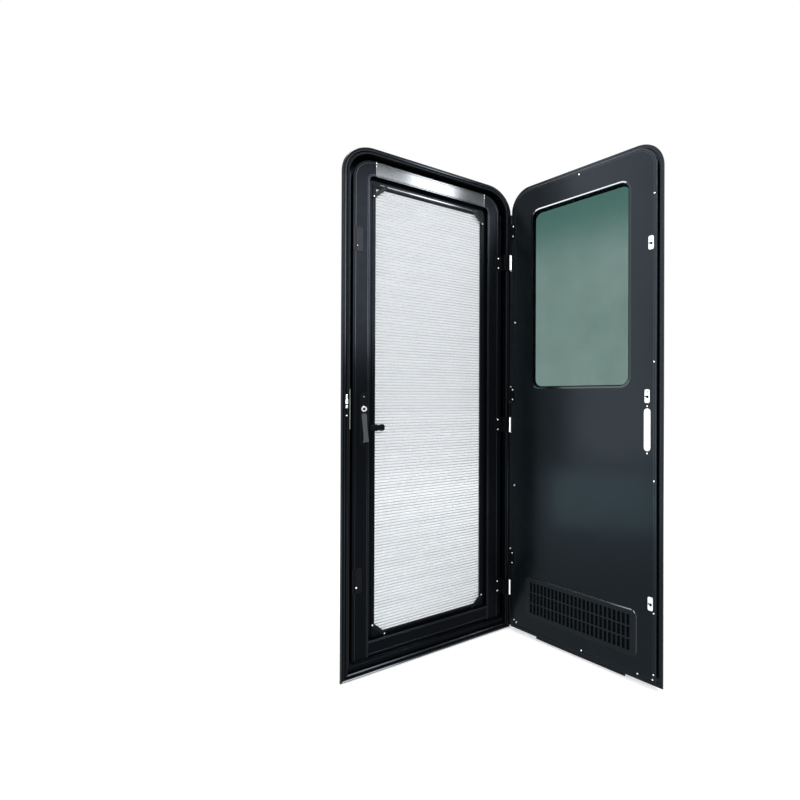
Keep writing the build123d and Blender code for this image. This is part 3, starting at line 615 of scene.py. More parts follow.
class NodeTree:
    """Geometry node tree that is wired up in the script."""

    def __init__(self, name: str) -> None:
        """Start a tree with a geometry input and output.

        Args:
            name: Name of the tree.
        """
        self.group = bpy.data.node_groups.new(name, "GeometryNodeTree")
        self.group.interface.new_socket(name="Geometry", in_out="INPUT", socket_type="NodeSocketGeometry")
        self.group.interface.new_socket(name="Geometry", in_out="OUTPUT", socket_type="NodeSocketGeometry")
        self.entry = self.group.nodes.new("NodeGroupInput")
        self.exit = self.group.nodes.new("NodeGroupOutput")
        self.keys: dict[str, str] = {}

    def size(self, name: str, kind: str) -> bpy.types.NodeSocket:
        """Named input of the tree.

        Args:
            name: Name of the input.
            kind: Socket type, such as NodeSocketFloat.

        Returns:
            The input's socket inside the tree.
        """
        self.keys[name] = self.group.interface.new_socket(name=name, in_out="INPUT", socket_type=kind).identifier
        return self.entry.outputs[name]

    def node(self, kind: str, links: dict[str, bpy.types.NodeSocket], **settings: str) -> bpy.types.Node:
        """Node with its inputs linked.

        Args:
            kind: Type of the node.
            links: Source socket for each named input.
            settings: Values of the node's own options.

        Returns:
            The new node.
        """
        node = self.group.nodes.new(kind)
        for option, value in settings.items():
            setattr(node, option, value)
        for name, source in links.items():
            self.group.links.new(source, node.inputs[name])
        return node

    def close(self, instances: bpy.types.NodeSocket) -> None:
        """End the tree: real meshes with their finish.

        Args:
            instances: Socket that gives the instances.
        """
        real = self.node("GeometryNodeRealizeInstances", {"Geometry": instances})
        coat = self.size("Finish", "NodeSocketMaterial")
        dressed = self.node("GeometryNodeSetMaterial", {"Geometry": real.outputs["Geometry"], "Material": coat})
        self.group.links.new(dressed.outputs["Geometry"], self.exit.inputs["Geometry"])

    def make(self, name: str, base: bpy.types.Mesh, values: dict[str, object], place: Place,
             pattern: bpy.types.Object) -> bpy.types.Object:
        """Run the tree on a base mesh and keep the result as a plain piece.

        Args:
            name: Name of the piece.
            base: Mesh that the tree starts from, in millimetres.
            values: Value of each named input.
            place: Where the piece rests.
            pattern: Shape that is repeated, which is removed afterwards.

        Returns:
            The finished object, with its place in its mesh.
        """
        carrier = bpy.data.objects.new(name, base)
        bpy.context.scene.collection.objects.link(carrier)
        modifier = carrier.modifiers.new("repeat", "NODES")
        modifier.node_group = self.group
        for label, value in {**values, "Pattern": pattern}.items():
            modifier[self.keys[label]] = value
        graph = bpy.context.evaluated_depsgraph_get()
        mesh = bpy.data.meshes.new_from_object(carrier.evaluated_get(graph))
        carrier.modifiers.remove(modifier)
        carrier.data = mesh
        mesh.transform(place.matrix @ Matrix.Scale(MM, 4))
        bpy.data.objects.remove(pattern)
        return carrier


def stamp_tree() -> NodeTree:
    """Tree that sets a pattern on each point, turned to the point's facing and scaled to its size.

    Returns:
        The tree, with inputs Pattern and Finish.
    """
    tree = NodeTree("stamp_on_points")
    pattern = tree.size("Pattern", "NodeSocketObject")
    shape = tree.node("GeometryNodeObjectInfo", {"Object": pattern})
    facing = tree.node("GeometryNodeInputNamedAttribute", {}, data_type="FLOAT_VECTOR")
    facing.inputs["Name"].default_value = "facing"
    scale = tree.node("GeometryNodeInputNamedAttribute", {}, data_type="FLOAT")
    scale.inputs["Name"].default_value = "size"
    turn = tree.node("FunctionNodeAlignRotationToVector", {"Vector": facing.outputs["Attribute"]}, axis="Z")
    stamps = tree.node("GeometryNodeInstanceOnPoints", {
        "Points": tree.entry.outputs["Geometry"], "Instance": shape.outputs["Geometry"],
        "Rotation": turn.outputs["Rotation"], "Scale": scale.outputs["Attribute"]})
    tree.close(stamps.outputs["Instances"])
    return tree


def row_tree() -> NodeTree:
    """Tree that repeats a pattern at an even pitch along a line.

    Returns:
        The tree, with inputs Pattern, Count, Start, Pitch and Finish.
    """
    tree = NodeTree("repeat_along_line")
    pattern = tree.size("Pattern", "NodeSocketObject")
    shape = tree.node("GeometryNodeObjectInfo", {"Object": pattern})
    line = tree.node("GeometryNodeMeshLine", {
        "Count": tree.size("Count", "NodeSocketInt"), "Start Location": tree.size("Start", "NodeSocketVector"),
        "Offset": tree.size("Pitch", "NodeSocketVector")}, mode="OFFSET")
    repeats = tree.node("GeometryNodeInstanceOnPoints",
                        {"Points": line.outputs["Mesh"], "Instance": shape.outputs["Geometry"]})
    tree.close(repeats.outputs["Instances"])
    return tree


STAMPS = stamp_tree()
ROWS = row_tree()


def pattern_object(shape: Shape, name: str, finish: Finish) -> bpy.types.Object:
    """Shape to be repeated, kept in millimetres.

    Args:
        shape: Drawing of the pattern about the origin.
        name: Name of the pattern.
        finish: Finish that the repeats get.

    Returns:
        The pattern's object, out of sight.
    """
    unscaled = Place(Matrix.Scale(1 / MM, 4))
    pattern = shape.make(name, unscaled, [finish])
    pattern.hide_render = True
    return pattern


def lay_row(name: str, shape: Shape, count: int, start: Vector, pitch: Vector, body: Body, finish: Finish,
            *nodes: str) -> None:
    """Make and hand over a piece of equal bars or wires at an even pitch.

    Args:
        name: Name of the piece.
        shape: Drawing of one bar about the origin.
        count: Number of bars.
        start: Place of the first bar.
        pitch: Step from one bar to the next.
        body: Body that it rides on.
        finish: Finish of the bars.
        nodes: CAD nodes that it stands for.
    """
    values = {"Count": count, "Start": start, "Pitch": pitch, "Finish": finish.material()}
    base = bpy.data.meshes.new(name)
    pattern = pattern_object(shape, f"{name}_pattern", finish)
    settle(ROWS.make(name, base, values, body.place, pattern), body, finish, *nodes)


@dataclass(frozen=True)
class Screw:
    """Place of one screw head, in the closed door's coordinates."""

    at: Vector
    facing: Vector
    radius: float = 3.2


def screw_head() -> Shape:
    """Domed head of radius 1 with a cross recess, standing on the origin along Z.

    Returns:
        The drawing of the head.
    """
    sides = 16
    domed = ((1.0, 0.0), (1.0, 0.16), (0.9, 0.34), (0.68, 0.46))
    rings = [[Vector((r * cos(i / sides * 2 * pi), r * sin(i / sides * 2 * pi), h)) for i in range(sides)]
             for r, h in domed]
    arms = [0.48 if i % 4 in (0, 1) else 0.17 for i in range(sides)]
    for height in (0.48, 0.2):
        rings.append([Vector((arms[i] * cos((i - 0.5) / sides * 2 * pi), arms[i] * sin((i - 0.5) / sides * 2 * pi),
                              height)) for i in range(sides)])
    return Shape().loft(rings)


def fasten(name: str, heads: Sequence[Screw], body: Body, finish: Finish = BRIGHT_STEEL) -> None:
    """Make and hand over a set of screw heads.

    Args:
        name: Name of the piece.
        heads: Places of the heads.
        body: Body that they ride on.
        finish: Finish of the heads.
    """
    base = bpy.data.meshes.new(name)
    base.from_pydata([head.at for head in heads], [], [])
    facing = base.attributes.new("facing", "FLOAT_VECTOR", "POINT")
    facing.data.foreach_set("vector", [value for head in heads for value in head.facing])
    size = base.attributes.new("size", "FLOAT", "POINT")
    size.data.foreach_set("value", [head.radius for head in heads])
    values = {"Finish": finish.material()}
    pattern = pattern_object(screw_head(), f"{name}_pattern", finish)
    settle(STAMPS.make(name, base, values, body.place, pattern), body, finish)


def settle(piece: bpy.types.Object, body: Body, finish: Finish, *nodes: str) -> None:
    """Hand a finished piece to the frame.

    Args:
        piece: The finished object.
        body: Body that it rides on.
        finish: Main finish of the piece; not used.
        nodes: CAD nodes that it stands for.
    """
    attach(piece, body.value)
    if nodes:
        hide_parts(*nodes)
    log.info("%s rides on %s, %d faces", piece.name, body.value, len(piece.data.polygons))


def hand_over(shape: Shape, name: str, body: Body, finishes: Sequence[Finish], *nodes: str) -> None:
    """Make a piece from its drawing and hand it to the frame.

    Args:
        shape: Drawing of the piece.
        name: Name of the piece.
        body: Body that it rides on.
        finishes: Finishes in the order of their indices, the main one first.
        nodes: CAD nodes that it stands for.
    """
    settle(shape.make(name, body.place, finishes), body, finishes[0], *nodes)


def dress(node: str, finish: Finish) -> None:
    """Give a carried-over CAD node its finish.

    Args:
        node: Name of the CAD node.
        finish: Finish of the node.
    """
    materials = frame["nodes"][node].data.materials
    materials.clear()
    materials.append(finish.material())
    log.info("%s keeps its solid, in %s", node, finish.name)


OUTWARDS = Vector((0, -1, 0))
INWARDS = Vector((0, 1, 0))
UP = Vector((0, 0, 1))
WALL = STANDING.span("frame_hoop")
CORNER_RADIUS = 105.0


@dataclass
class WallFrame:
    """Bent frame in the wall: hoop, sill with its tread, seal, rubber strips and lock striker."""

    rim: float = 14.0
    bevel: float = 5.0
    flange: float = 4.0
    groove: float = 3.0
    ridge: float = 8.0
    ridge_height: float = 8.0
    web: float = 4.0
    stop: float = 27.0
    stop_thickness: float = 3.0
    tread_rise: float = 19.0
    tread_front: float = 1.0
    tread_ribs: int = 4
    first_rib: float = 6.0
    rib_pitch: float = 9.0
    strip_width: float = 7.0
    bulb: float = 4.4
    strip_height: float = 7.5
    hinge_gap: float = 2.0
    striker_gap: float = 4.0
    claw_face: float = -12.5
    claws: tuple[tuple[float, float, float], ...] = ((111.0, 16.0, 6.0), (94.0, 17.0, 9.0), (77.0, 11.0, 7.0))
    claw_screw: float = 2.6
    claw_screw_rise: float = 47.0

    @property
    def jamb(self) -> float:
        """Inset of the frame's clear opening."""
        return self.rim + self.groove + self.ridge

    def profile(self) -> list[Point2]:
        """Section of the frame: rim, groove, ridge, web and stop.

        Returns:
            Closed profile of insets and depths.
        """
        front, back = WALL.low.y, WALL.high.y
        ridge_start, inner = self.rim + self.groove, self.jamb + self.stop
        return rounded([
            (0, 0, 0.4), (0, front + self.bevel, 1.8), (self.bevel, front, 2.6), (self.rim, front, 1.6),
            (self.rim, -self.flange, 0.6), (ridge_start, -self.flange, 0.6), (ridge_start, -self.ridge_height, 1.6),
            (self.jamb, -self.ridge_height, 1.6), (self.jamb, back - self.stop_thickness, 0.5),
            (inner, back - self.stop_thickness, 0.8), (inner, back, 0.8), (self.jamb - self.web, back, 0.8),
            (self.jamb - self.web, 0, 0.4)])

    def rim_beads(self) -> list[list[Point2]]:
        """Sections of the two fine beads along the rim, on its bevel and its inner edge."""
        face, inner = WALL.low.y, self.rim
        outer_bead = [(1.6, face + 4.2), (2.2, face + 1.4), (3.8, face - 0.4), (5.4, face - 0.5), (6.4, face + 0.4)]
        inner_bead = [(inner - 3.2, face + 0.4), (inner - 2.6, face - 0.5), (inner - 0.8, face - 0.5),
                      (inner + 0.2, face + 0.6), (inner + 0.2, face + 3.0)]
        return [outer_bead, inner_bead]

    def sill_beads(self) -> list[list[Point2]]:
        """Sections of the two sloped beads along the sill, one on its rim and one on its ridge."""
        face, top, inner = WALL.low.y, -self.ridge_height, self.jamb
        lower = [(6.2, face + 0.6), (6.0, face - 1.0), (6.6, face - 1.6), (9.2, face + 0.15), (9.2, face + 0.8)]
        upper = [(inner - 3.2, top + 0.6), (inner - 3.2, top - 2.6), (inner - 2.8, top - 3.0), (inner + 0.2, top - 0.9),
                 (inner + 0.2, top + 0.6)]
        return [lower, upper]

    def tread(self, shape: Shape) -> None:
        """Step of the sill with a rounded nosing and fine ribs.

        Args:
            shape: Drawing of the sill.
        """
        low = WALL.low.z + self.jamb
        high, back = low + self.tread_rise, WALL.high.y - self.stop_thickness
        corners = [(self.tread_front, low, 0.3), (self.tread_front, high, 3.0)]
        for rib in range(self.tread_ribs):
            start = self.first_rib + self.rib_pitch * rib
            corners += [(start, high, 0.2), (start + 0.8, high - 0.9, 0.2), (start + 2.2, high - 0.9, 0.2),
                        (start + 3.0, high, 0.2)]
        corners += [(back, high, 0.4), (back, low, 0.3)]
        section = rounded(corners, steps=3)
        reach = WALL.high.x - self.jamb
        shape.loft([[Vector((x, y, z)) for y, z in section] for x in (-reach, reach)])

    def build(self) -> None:
        """Make and hand over the frame's pieces."""
        arch = Arch(WALL, CORNER_RADIUS)
        hoop, sill = Shape().sweep(self.profile(), arch.line), Shape().sweep(self.profile(), arch.foot_line)
        for bead in self.rim_beads():
            hoop.sweep(bead, arch.line, finish=1)
        for index, bead in enumerate(self.sill_beads()):
            sill.sweep(bead, arch.foot_line, finish=1 + index)
        hand_over(hoop, "frame_hoop_dressed", Body.FRAME, [POWDER_COAT, BEAD_COAT], "frame_hoop")
        self.tread(sill)
        hand_over(sill, "frame_sill_dressed", Body.FRAME, [POWDER_COAT, GLOSS_COAT, BEAD_COAT], "frame_sill")
        seal_span = STANDING.span("frame_seal")
        start = seal_span.low.x - WALL.low.x
        base, tip = seal_span.high.y, seal_span.low.y
        lip = rounded([(start, base, 0), (start, tip, 0.9), (start + 2.2, tip, 0.9), (start + 2.6, base - 0.8, 0.4),
                       (start + 3.4, base - 0.8, 0.4), (start + 3.8, tip, 0.9), (start + 6, tip, 0.9),
                       (start + 6, base, 0)], steps=3)
        seal = Shape().sweep(lip, arch.line, wrap=True)
        hand_over(seal, "frame_seal_dressed", Body.FRAME, [RUBBER], "frame_seal")
        self.hinge_strip()
        self.latch_strip()
        self.striker()

    def latch_strip(self) -> None:
        """Make the rubber bulb on the latch jamb, in one run below the striker and one above it."""
        start, face = WALL.low.x + self.jamb - 0.4, -self.ridge_height + 1.0
        tip = start + self.bulb
        section = rounded([(start, face, 0), (tip, face, 2.0), (tip, face + 7, 3.0), (start, face + 8, 0)], steps=4)
        striker = STANDING.span("lock_striker")
        shape = Shape()
        shape.prism(section, WALL.low.z + self.jamb + self.tread_rise + 2, striker.low.z - self.striker_gap)
        shape.prism(section, striker.high.z + self.striker_gap, WALL.high.z - CORNER_RADIUS)
        hand_over(shape, "latch_side_strip", Body.FRAME, [RUBBER])

    def hinge_strip(self) -> None:
        """Make the rubber strip that closes the gap beside the open door, in runs between the hinges."""
        face, edge = WALL.low.y, WALL.high.x
        tip = face - self.strip_height
        start = edge - self.strip_width
        section = rounded([(start, face + 0.4, 0), (start, tip, 2.0), (edge - 0.3, tip, 1.6),
                           (edge - 0.3, face + self.bevel, 0), (edge - self.bevel, face + 0.4, 0)], steps=3)
        stops = [WALL.low.z + self.rim]
        for name in ("lower", "middle", "upper"):
            hinge = STANDING.span(f"hinge_frame_leaf_{name}")
            stops += [hinge.low.z - self.hinge_gap, hinge.high.z + self.hinge_gap]
        stops.append(WALL.high.z - CORNER_RADIUS)
        shape = Shape()
        for low, high in zip(stops[::2], stops[1::2]):
            shape.prism(section, low, high)
        hand_over(shape, "hinge_side_strip", Body.FRAME, [RUBBER])

    def striker(self) -> None:
        """Make the lock striker: a steel plate edge-on to the jamb with three bright claws beside it."""
        span = STANDING.span("lock_striker")
        thickness, edge = span.size.x / 2, -self.flange
        plate_x = span.low.x + thickness
        shape = Shape()
        outer = rounded([(plate_x, edge, 0.6), (span.high.x, edge, 0.6), (span.high.x, span.high.y, 0.6),
                         (plate_x, span.high.y, 0.6)], steps=3)
        shape.prism(outer, span.low.z, span.high.z)
        packing = rounded([(span.low.x, 0, 0.3), (plate_x, 0, 0.3), (plate_x, 22, 0.3), (span.low.x, 22, 0.3)], steps=2)
        shape.prism(packing, span.low.z + 4, span.high.z - 4, finish=2)
        claw_x = WALL.low.x + self.rim + self.groove + 1
        for rise, height, width in self.claws:
            centre = (claw_x, span.low.z + rise)
            shape.plate(centre, (width, height), 2.0, -self.flange, self.claw_face, edge=1.4, finish=1)
        piece = shape.make("lock_striker_dressed", STANDING, [GREY_STEEL, CHROME, POWDER_COAT])
        settle(piece, Body.FRAME, CHROME, "lock_striker")
        screw_at = Vector((claw_x, -self.ridge_height - 2, span.low.z + self.claw_screw_rise))
        fasten("striker_screw", [Screw(screw_at, OUTWARDS, self.claw_screw)], Body.FRAME)


@dataclass
class Hinges:
    """Three hinges, each with a knuckle for the outer door, the frame and the screen door on one pin."""

    barrel: float = 7.0
    plate: float = 2.0
    foot: float = 33.0
    bore: float = 3.2
    soft: float = 1.0
    crank_back: float = 6.5
    leaf_back: float = 5.0
    screw_inset: float = 18.2
    leaf_screw_inset: float = 4.5
    screw_spread: float = 20.0
    names: tuple[str, ...] = ("upper", "middle", "lower")
    leaf_screws: list[Screw] = field(default_factory=list)
    screen_screws: list[Screw] = field(default_factory=list)

    def knuckle(self, shape: Shape, low: float, high: float, finish: int = 0) -> None:
        """Barrel of one leaf with softened ends.

        Args:
            shape: Drawing of the leaf.
            low: Height of its lower end.
            high: Height of its upper end.
            finish: Index of its finish.
        """
        height, radius, soft = high - low, self.barrel, self.soft
        profile = [(self.bore, 0), (radius - soft, 0), (radius, soft), (radius, height - soft), (radius - soft, height),
                   (self.bore, height)]
        shape.lathe(Vector((self.axis.x, self.axis.y, low)), UP, profile, finish=finish)

    @property
    def axis(self) -> Vector:
        """Point on the hinge line, in millimetres."""
        return Vector(frame["joints"][0]["pos_m"]) / MM

    def build(self) -> None:
        """Make and hand over the nine leaves and their screws."""
        for name in self.names:
            self.frame_leaf(name)
            self.screen_leaf(name)
            self.door_leaf(name)
        fasten("screen_hinge_screws", self.screen_screws, Body.SCREEN)
        fasten("door_hinge_screws", self.leaf_screws, Body.LEAF)

    def frame_leaf(self, name: str) -> None:
        """Middle knuckle with its foot on the rim, and the pin with its two heads.

        Args:
            name: Which hinge.
        """
        node = f"hinge_frame_leaf_{name}"
        span = STANDING.span(node)
        third = span.size.z / 3
        low, high = span.low.z + third, span.low.z + 2 * third - 0.5
        shape = Shape()
        self.knuckle(shape, low, high)
        neck = rounded([(self.axis.x - 4, self.axis.y, 0.5), (self.axis.x + 4, self.axis.y, 0.5),
                        (self.axis.x + 4, span.high.y, 0.5), (self.axis.x - 4, span.high.y, 0.5)], steps=2)
        shape.prism(neck, low, high)
        shape.plate((span.high.x - 7, (low + high) / 2), (14, high - low), 2.5, span.high.y, span.high.y - self.plate)
        pin = [(0.4, 0), (2.6, 0), (3.0, 0.5), (3.0, span.size.z - 0.5), (2.6, span.size.z), (0.4, span.size.z)]
        shape.lathe(Vector((self.axis.x, self.axis.y, span.low.z)), UP, pin, finish=1, sides=20)
        hand_over(shape, f"{node}_dressed", Body.FRAME, [HINGE_COAT, BRIGHT_STEEL], node)

    def screen_leaf(self, name: str) -> None:
        """Bright lower knuckle with a cranked plate that reaches back to the screen door.

        Args:
            name: Which hinge.
        """
        node = f"hinge_screen_leaf_{name}"
        span = STANDING.span(node)
        near = span.high.y - self.plate
        cover = self.axis.y + self.crank_back
        leg = span.low.x + self.foot
        shape = Shape()
        self.knuckle(shape, span.low.z, span.high.z, finish=1)
        crank = rounded([
            (self.axis.x - 2, cover, 0.4), (leg, cover, 1.8), (leg, near, 0.8), (span.low.x, near, 0.6),
            (span.low.x, span.high.y, 0.2), (leg + self.plate, span.high.y, 1.8),
            (leg + self.plate, cover + self.plate, 0.8), (self.axis.x - 2, cover + self.plate, 0.4)], steps=3)
        shape.prism(crank, span.low.z, span.high.z)
        neck = rounded([(self.axis.x - 7, self.axis.y, 0.4), (self.axis.x, self.axis.y, 0.4),
                        (self.axis.x, cover + self.plate, 0.4), (self.axis.x - 7, cover + self.plate, 0.4)], steps=2)
        shape.prism(neck, span.low.z + 2, span.high.z - 2)
        hand_over(shape, f"{node}_dressed", Body.SCREEN, [HINGE_COAT, CHROME], node)
        for rise in (-self.screw_spread, self.screw_spread):
            at = Vector((span.low.x + self.screw_inset, near, span.middle.z + rise))
            self.screen_screws.append(Screw(at, OUTWARDS))

    def door_leaf(self, name: str) -> None:
        """Upper knuckle with its plate on the outer door's lip.

        Args:
            name: Which hinge.
        """
        node = f"hinge_door_leaf_{name}"
        span = HINGED.span(node)
        back = self.axis.y + self.leaf_back
        shape = Shape()
        self.knuckle(shape, span.low.z, span.high.z)
        plate = rounded([(span.low.x, back, 0.2), (self.axis.x, back, 0.2), (self.axis.x, back + self.plate, 0.4),
                         (span.low.x, back + self.plate, 0.8)], steps=3)
        shape.prism(plate, span.low.z, span.high.z)
        hand_over(shape, f"{node}_dressed", Body.LEAF, [HINGE_COAT], node)
        for rise in (-self.screw_spread, self.screw_spread):
            at = Vector((span.low.x + self.leaf_screw_inset, back + self.plate, span.middle.z + rise))
            self.leaf_screws.append(Screw(at, INWARDS))


@dataclass
class ScreenDoor:
    """Screen door's bent stiles and rails, with their joints and keeper plates."""

    width: float = 56.0
    bead: float = 1.5
    beads: tuple[Point2, ...] = ((9.0, 12.0), (48.5, 51.5), (53.0, 56.0))
    joint: float = 213.5
    seam: float = 3.2
    seam_proud: float = 1.2
    rivet: float = 1.9
    rivet_drops: Point2 = (8.0, 19.0)
    hole_inset: float = 54.0
    hole_rise: float = 21.0
    strip: float = 10.0
    pins: dict[str, float] = field(default_factory=lambda: {"upper": 1.6, "lower": 3.4})

    def __post_init__(self) -> None:
        """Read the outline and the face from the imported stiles."""
        latch, hinge = STANDING.span("screen_latch_stile"), STANDING.span("screen_hinge_stile")
        self.face, self.back = latch.low.y + self.bead, latch.high.y
        self.top, self.foot = latch.high.z, latch.low.z
        self.arch = Arch(WALL, CORNER_RADIUS, latch=latch.low.x - WALL.low.x, hinge=WALL.high.x - hinge.high.x,
                         head=WALL.high.z - self.top, foot=self.foot - WALL.low.z)

    def section(self) -> list[Point2]:
        """Box section of stiles and rails.

        Returns:
            Closed profile of insets and depths.
        """
        return rounded([(0.0, self.back, 0.8), (0.0, self.face, 2.4), (self.width, self.face, 0.4),
                        (self.width, self.back, 0.8)])

    def ribs(self) -> list[list[Point2]]:
        """Sections of the raised beads along the face."""
        face, top = self.face, self.face - self.bead
        return [rounded([(start, face + 0.3, 0), (start, top, 0.8), (end, top, 0.8), (end, face + 0.3, 0)])
                for start, end in self.beads]

    def latch_line(self, inset: float) -> list[Point2]:
        """Line of the latch stile, over its corner to the joint."""
        return self.arch.line(inset, 0)[:ARC_STEPS + 2] + [(-self.joint, self.top - inset)]

    def hinge_line(self, inset: float) -> list[Point2]:
        """Line of the hinge stile, from the joint over its corner."""
        return [(self.joint, self.top - inset)] + self.arch.line(inset, 0)[ARC_STEPS + 3:]

    def top_line(self, inset: float) -> list[Point2]:
        """Line of the top rail between the joints."""
        return [(-self.joint, self.top - inset), (self.joint, self.top - inset)]

    def bottom_line(self, inset: float) -> list[Point2]:
        """Line of the bottom rail between the stiles."""
        span = STANDING.span("screen_bottom_rail")
        return [(span.high.x, self.foot + inset), (span.low.x, self.foot + inset)]

    def build(self) -> None:
        """Make and hand over the stiles, rails, joint strips and keeper plates."""
        members = (("screen_latch_stile", self.latch_line, POWDER_COAT, BEAD_COAT),
                   ("screen_hinge_stile", self.hinge_line, POWDER_COAT, BEAD_COAT),
                   ("screen_top_rail", self.top_line, GLOSS_COAT, GLOSS_COAT),
                   ("screen_bottom_rail", self.bottom_line, POWDER_COAT, BEAD_COAT))
        for node, line, finish, rib_finish in members:
            shape = Shape().sweep(self.section(), line)
            for rib in self.ribs():
                shape.sweep(rib, line, finish=1)
            hand_over(shape, f"{node}_dressed", Body.SCREEN, [finish, rib_finish], node)
        seams, seam_face = Shape(), self.face - self.seam_proud
        for side in (-self.joint, self.joint):
            centre, size = (side, self.top - self.width / 2), (self.seam, self.width - 4)
            seams.plate(centre, size, 0.8, self.face, seam_face, edge=0.5)
        hand_over(seams, "screen_joint_strips", Body.SCREEN, [SEAM_COAT])
        rivets = [Screw(Vector((side, seam_face, self.top - drop)), OUTWARDS, self.rivet)
                  for side in (-self.joint, self.joint) for drop in self.rivet_drops]
        fasten("screen_joint_rivets", rivets, Body.SCREEN)
        self.edge_strip()
        self.keepers()

    def edge_strip(self) -> None:
        """Make the strip that narrows the gap along the hinge stile's outer edge."""
        edge, front = STANDING.span("screen_hinge_stile").high.x, self.face + 1.2
        section = rounded([(edge - 0.5, front, 0), (edge - 0.5, front + 7, 0), (edge + self.strip, front + 7, 1.5),
                           (edge + self.strip, front, 2.0)])
        shape = Shape().prism(section, self.foot + 4, self.top - self.arch.radius + self.arch.head)
        hand_over(shape, "screen_edge_strip", Body.SCREEN, [POWDER_COAT])

    def keepers(self) -> None:
        """Make the two keeper plates with an eyelet or a screw where the catch stud meets them."""
        hole_x = WALL.low.x + self.hole_inset
        for name in self.pins:
            node = f"keeper_plate_{name}"
            span = STANDING.span(node)
            shape = Shape().plate((span.middle.x, span.middle.z), (span.size.x, span.size.z), 5.0,
                                  span.high.y, span.low.y, edge=0.7)
            eyelet = [(0.3, 0.05), (3.6, 0.05), (3.9, 0.5), (4.9, 0.8), (5.8, 0.5), (6.0, 0.0)]
            hole = Vector((hole_x, span.low.y, span.low.z + self.hole_rise))
            shape.lathe(hole, OUTWARDS, eyelet, finish=1)
            hand_over(shape, f"{node}_dressed", Body.SCREEN, [KEEPER_PLASTIC, RUBBER], node)
            fasten(f"keeper_pin_{name}", [Screw(hole, OUTWARDS, self.pins[name])], Body.SCREEN)


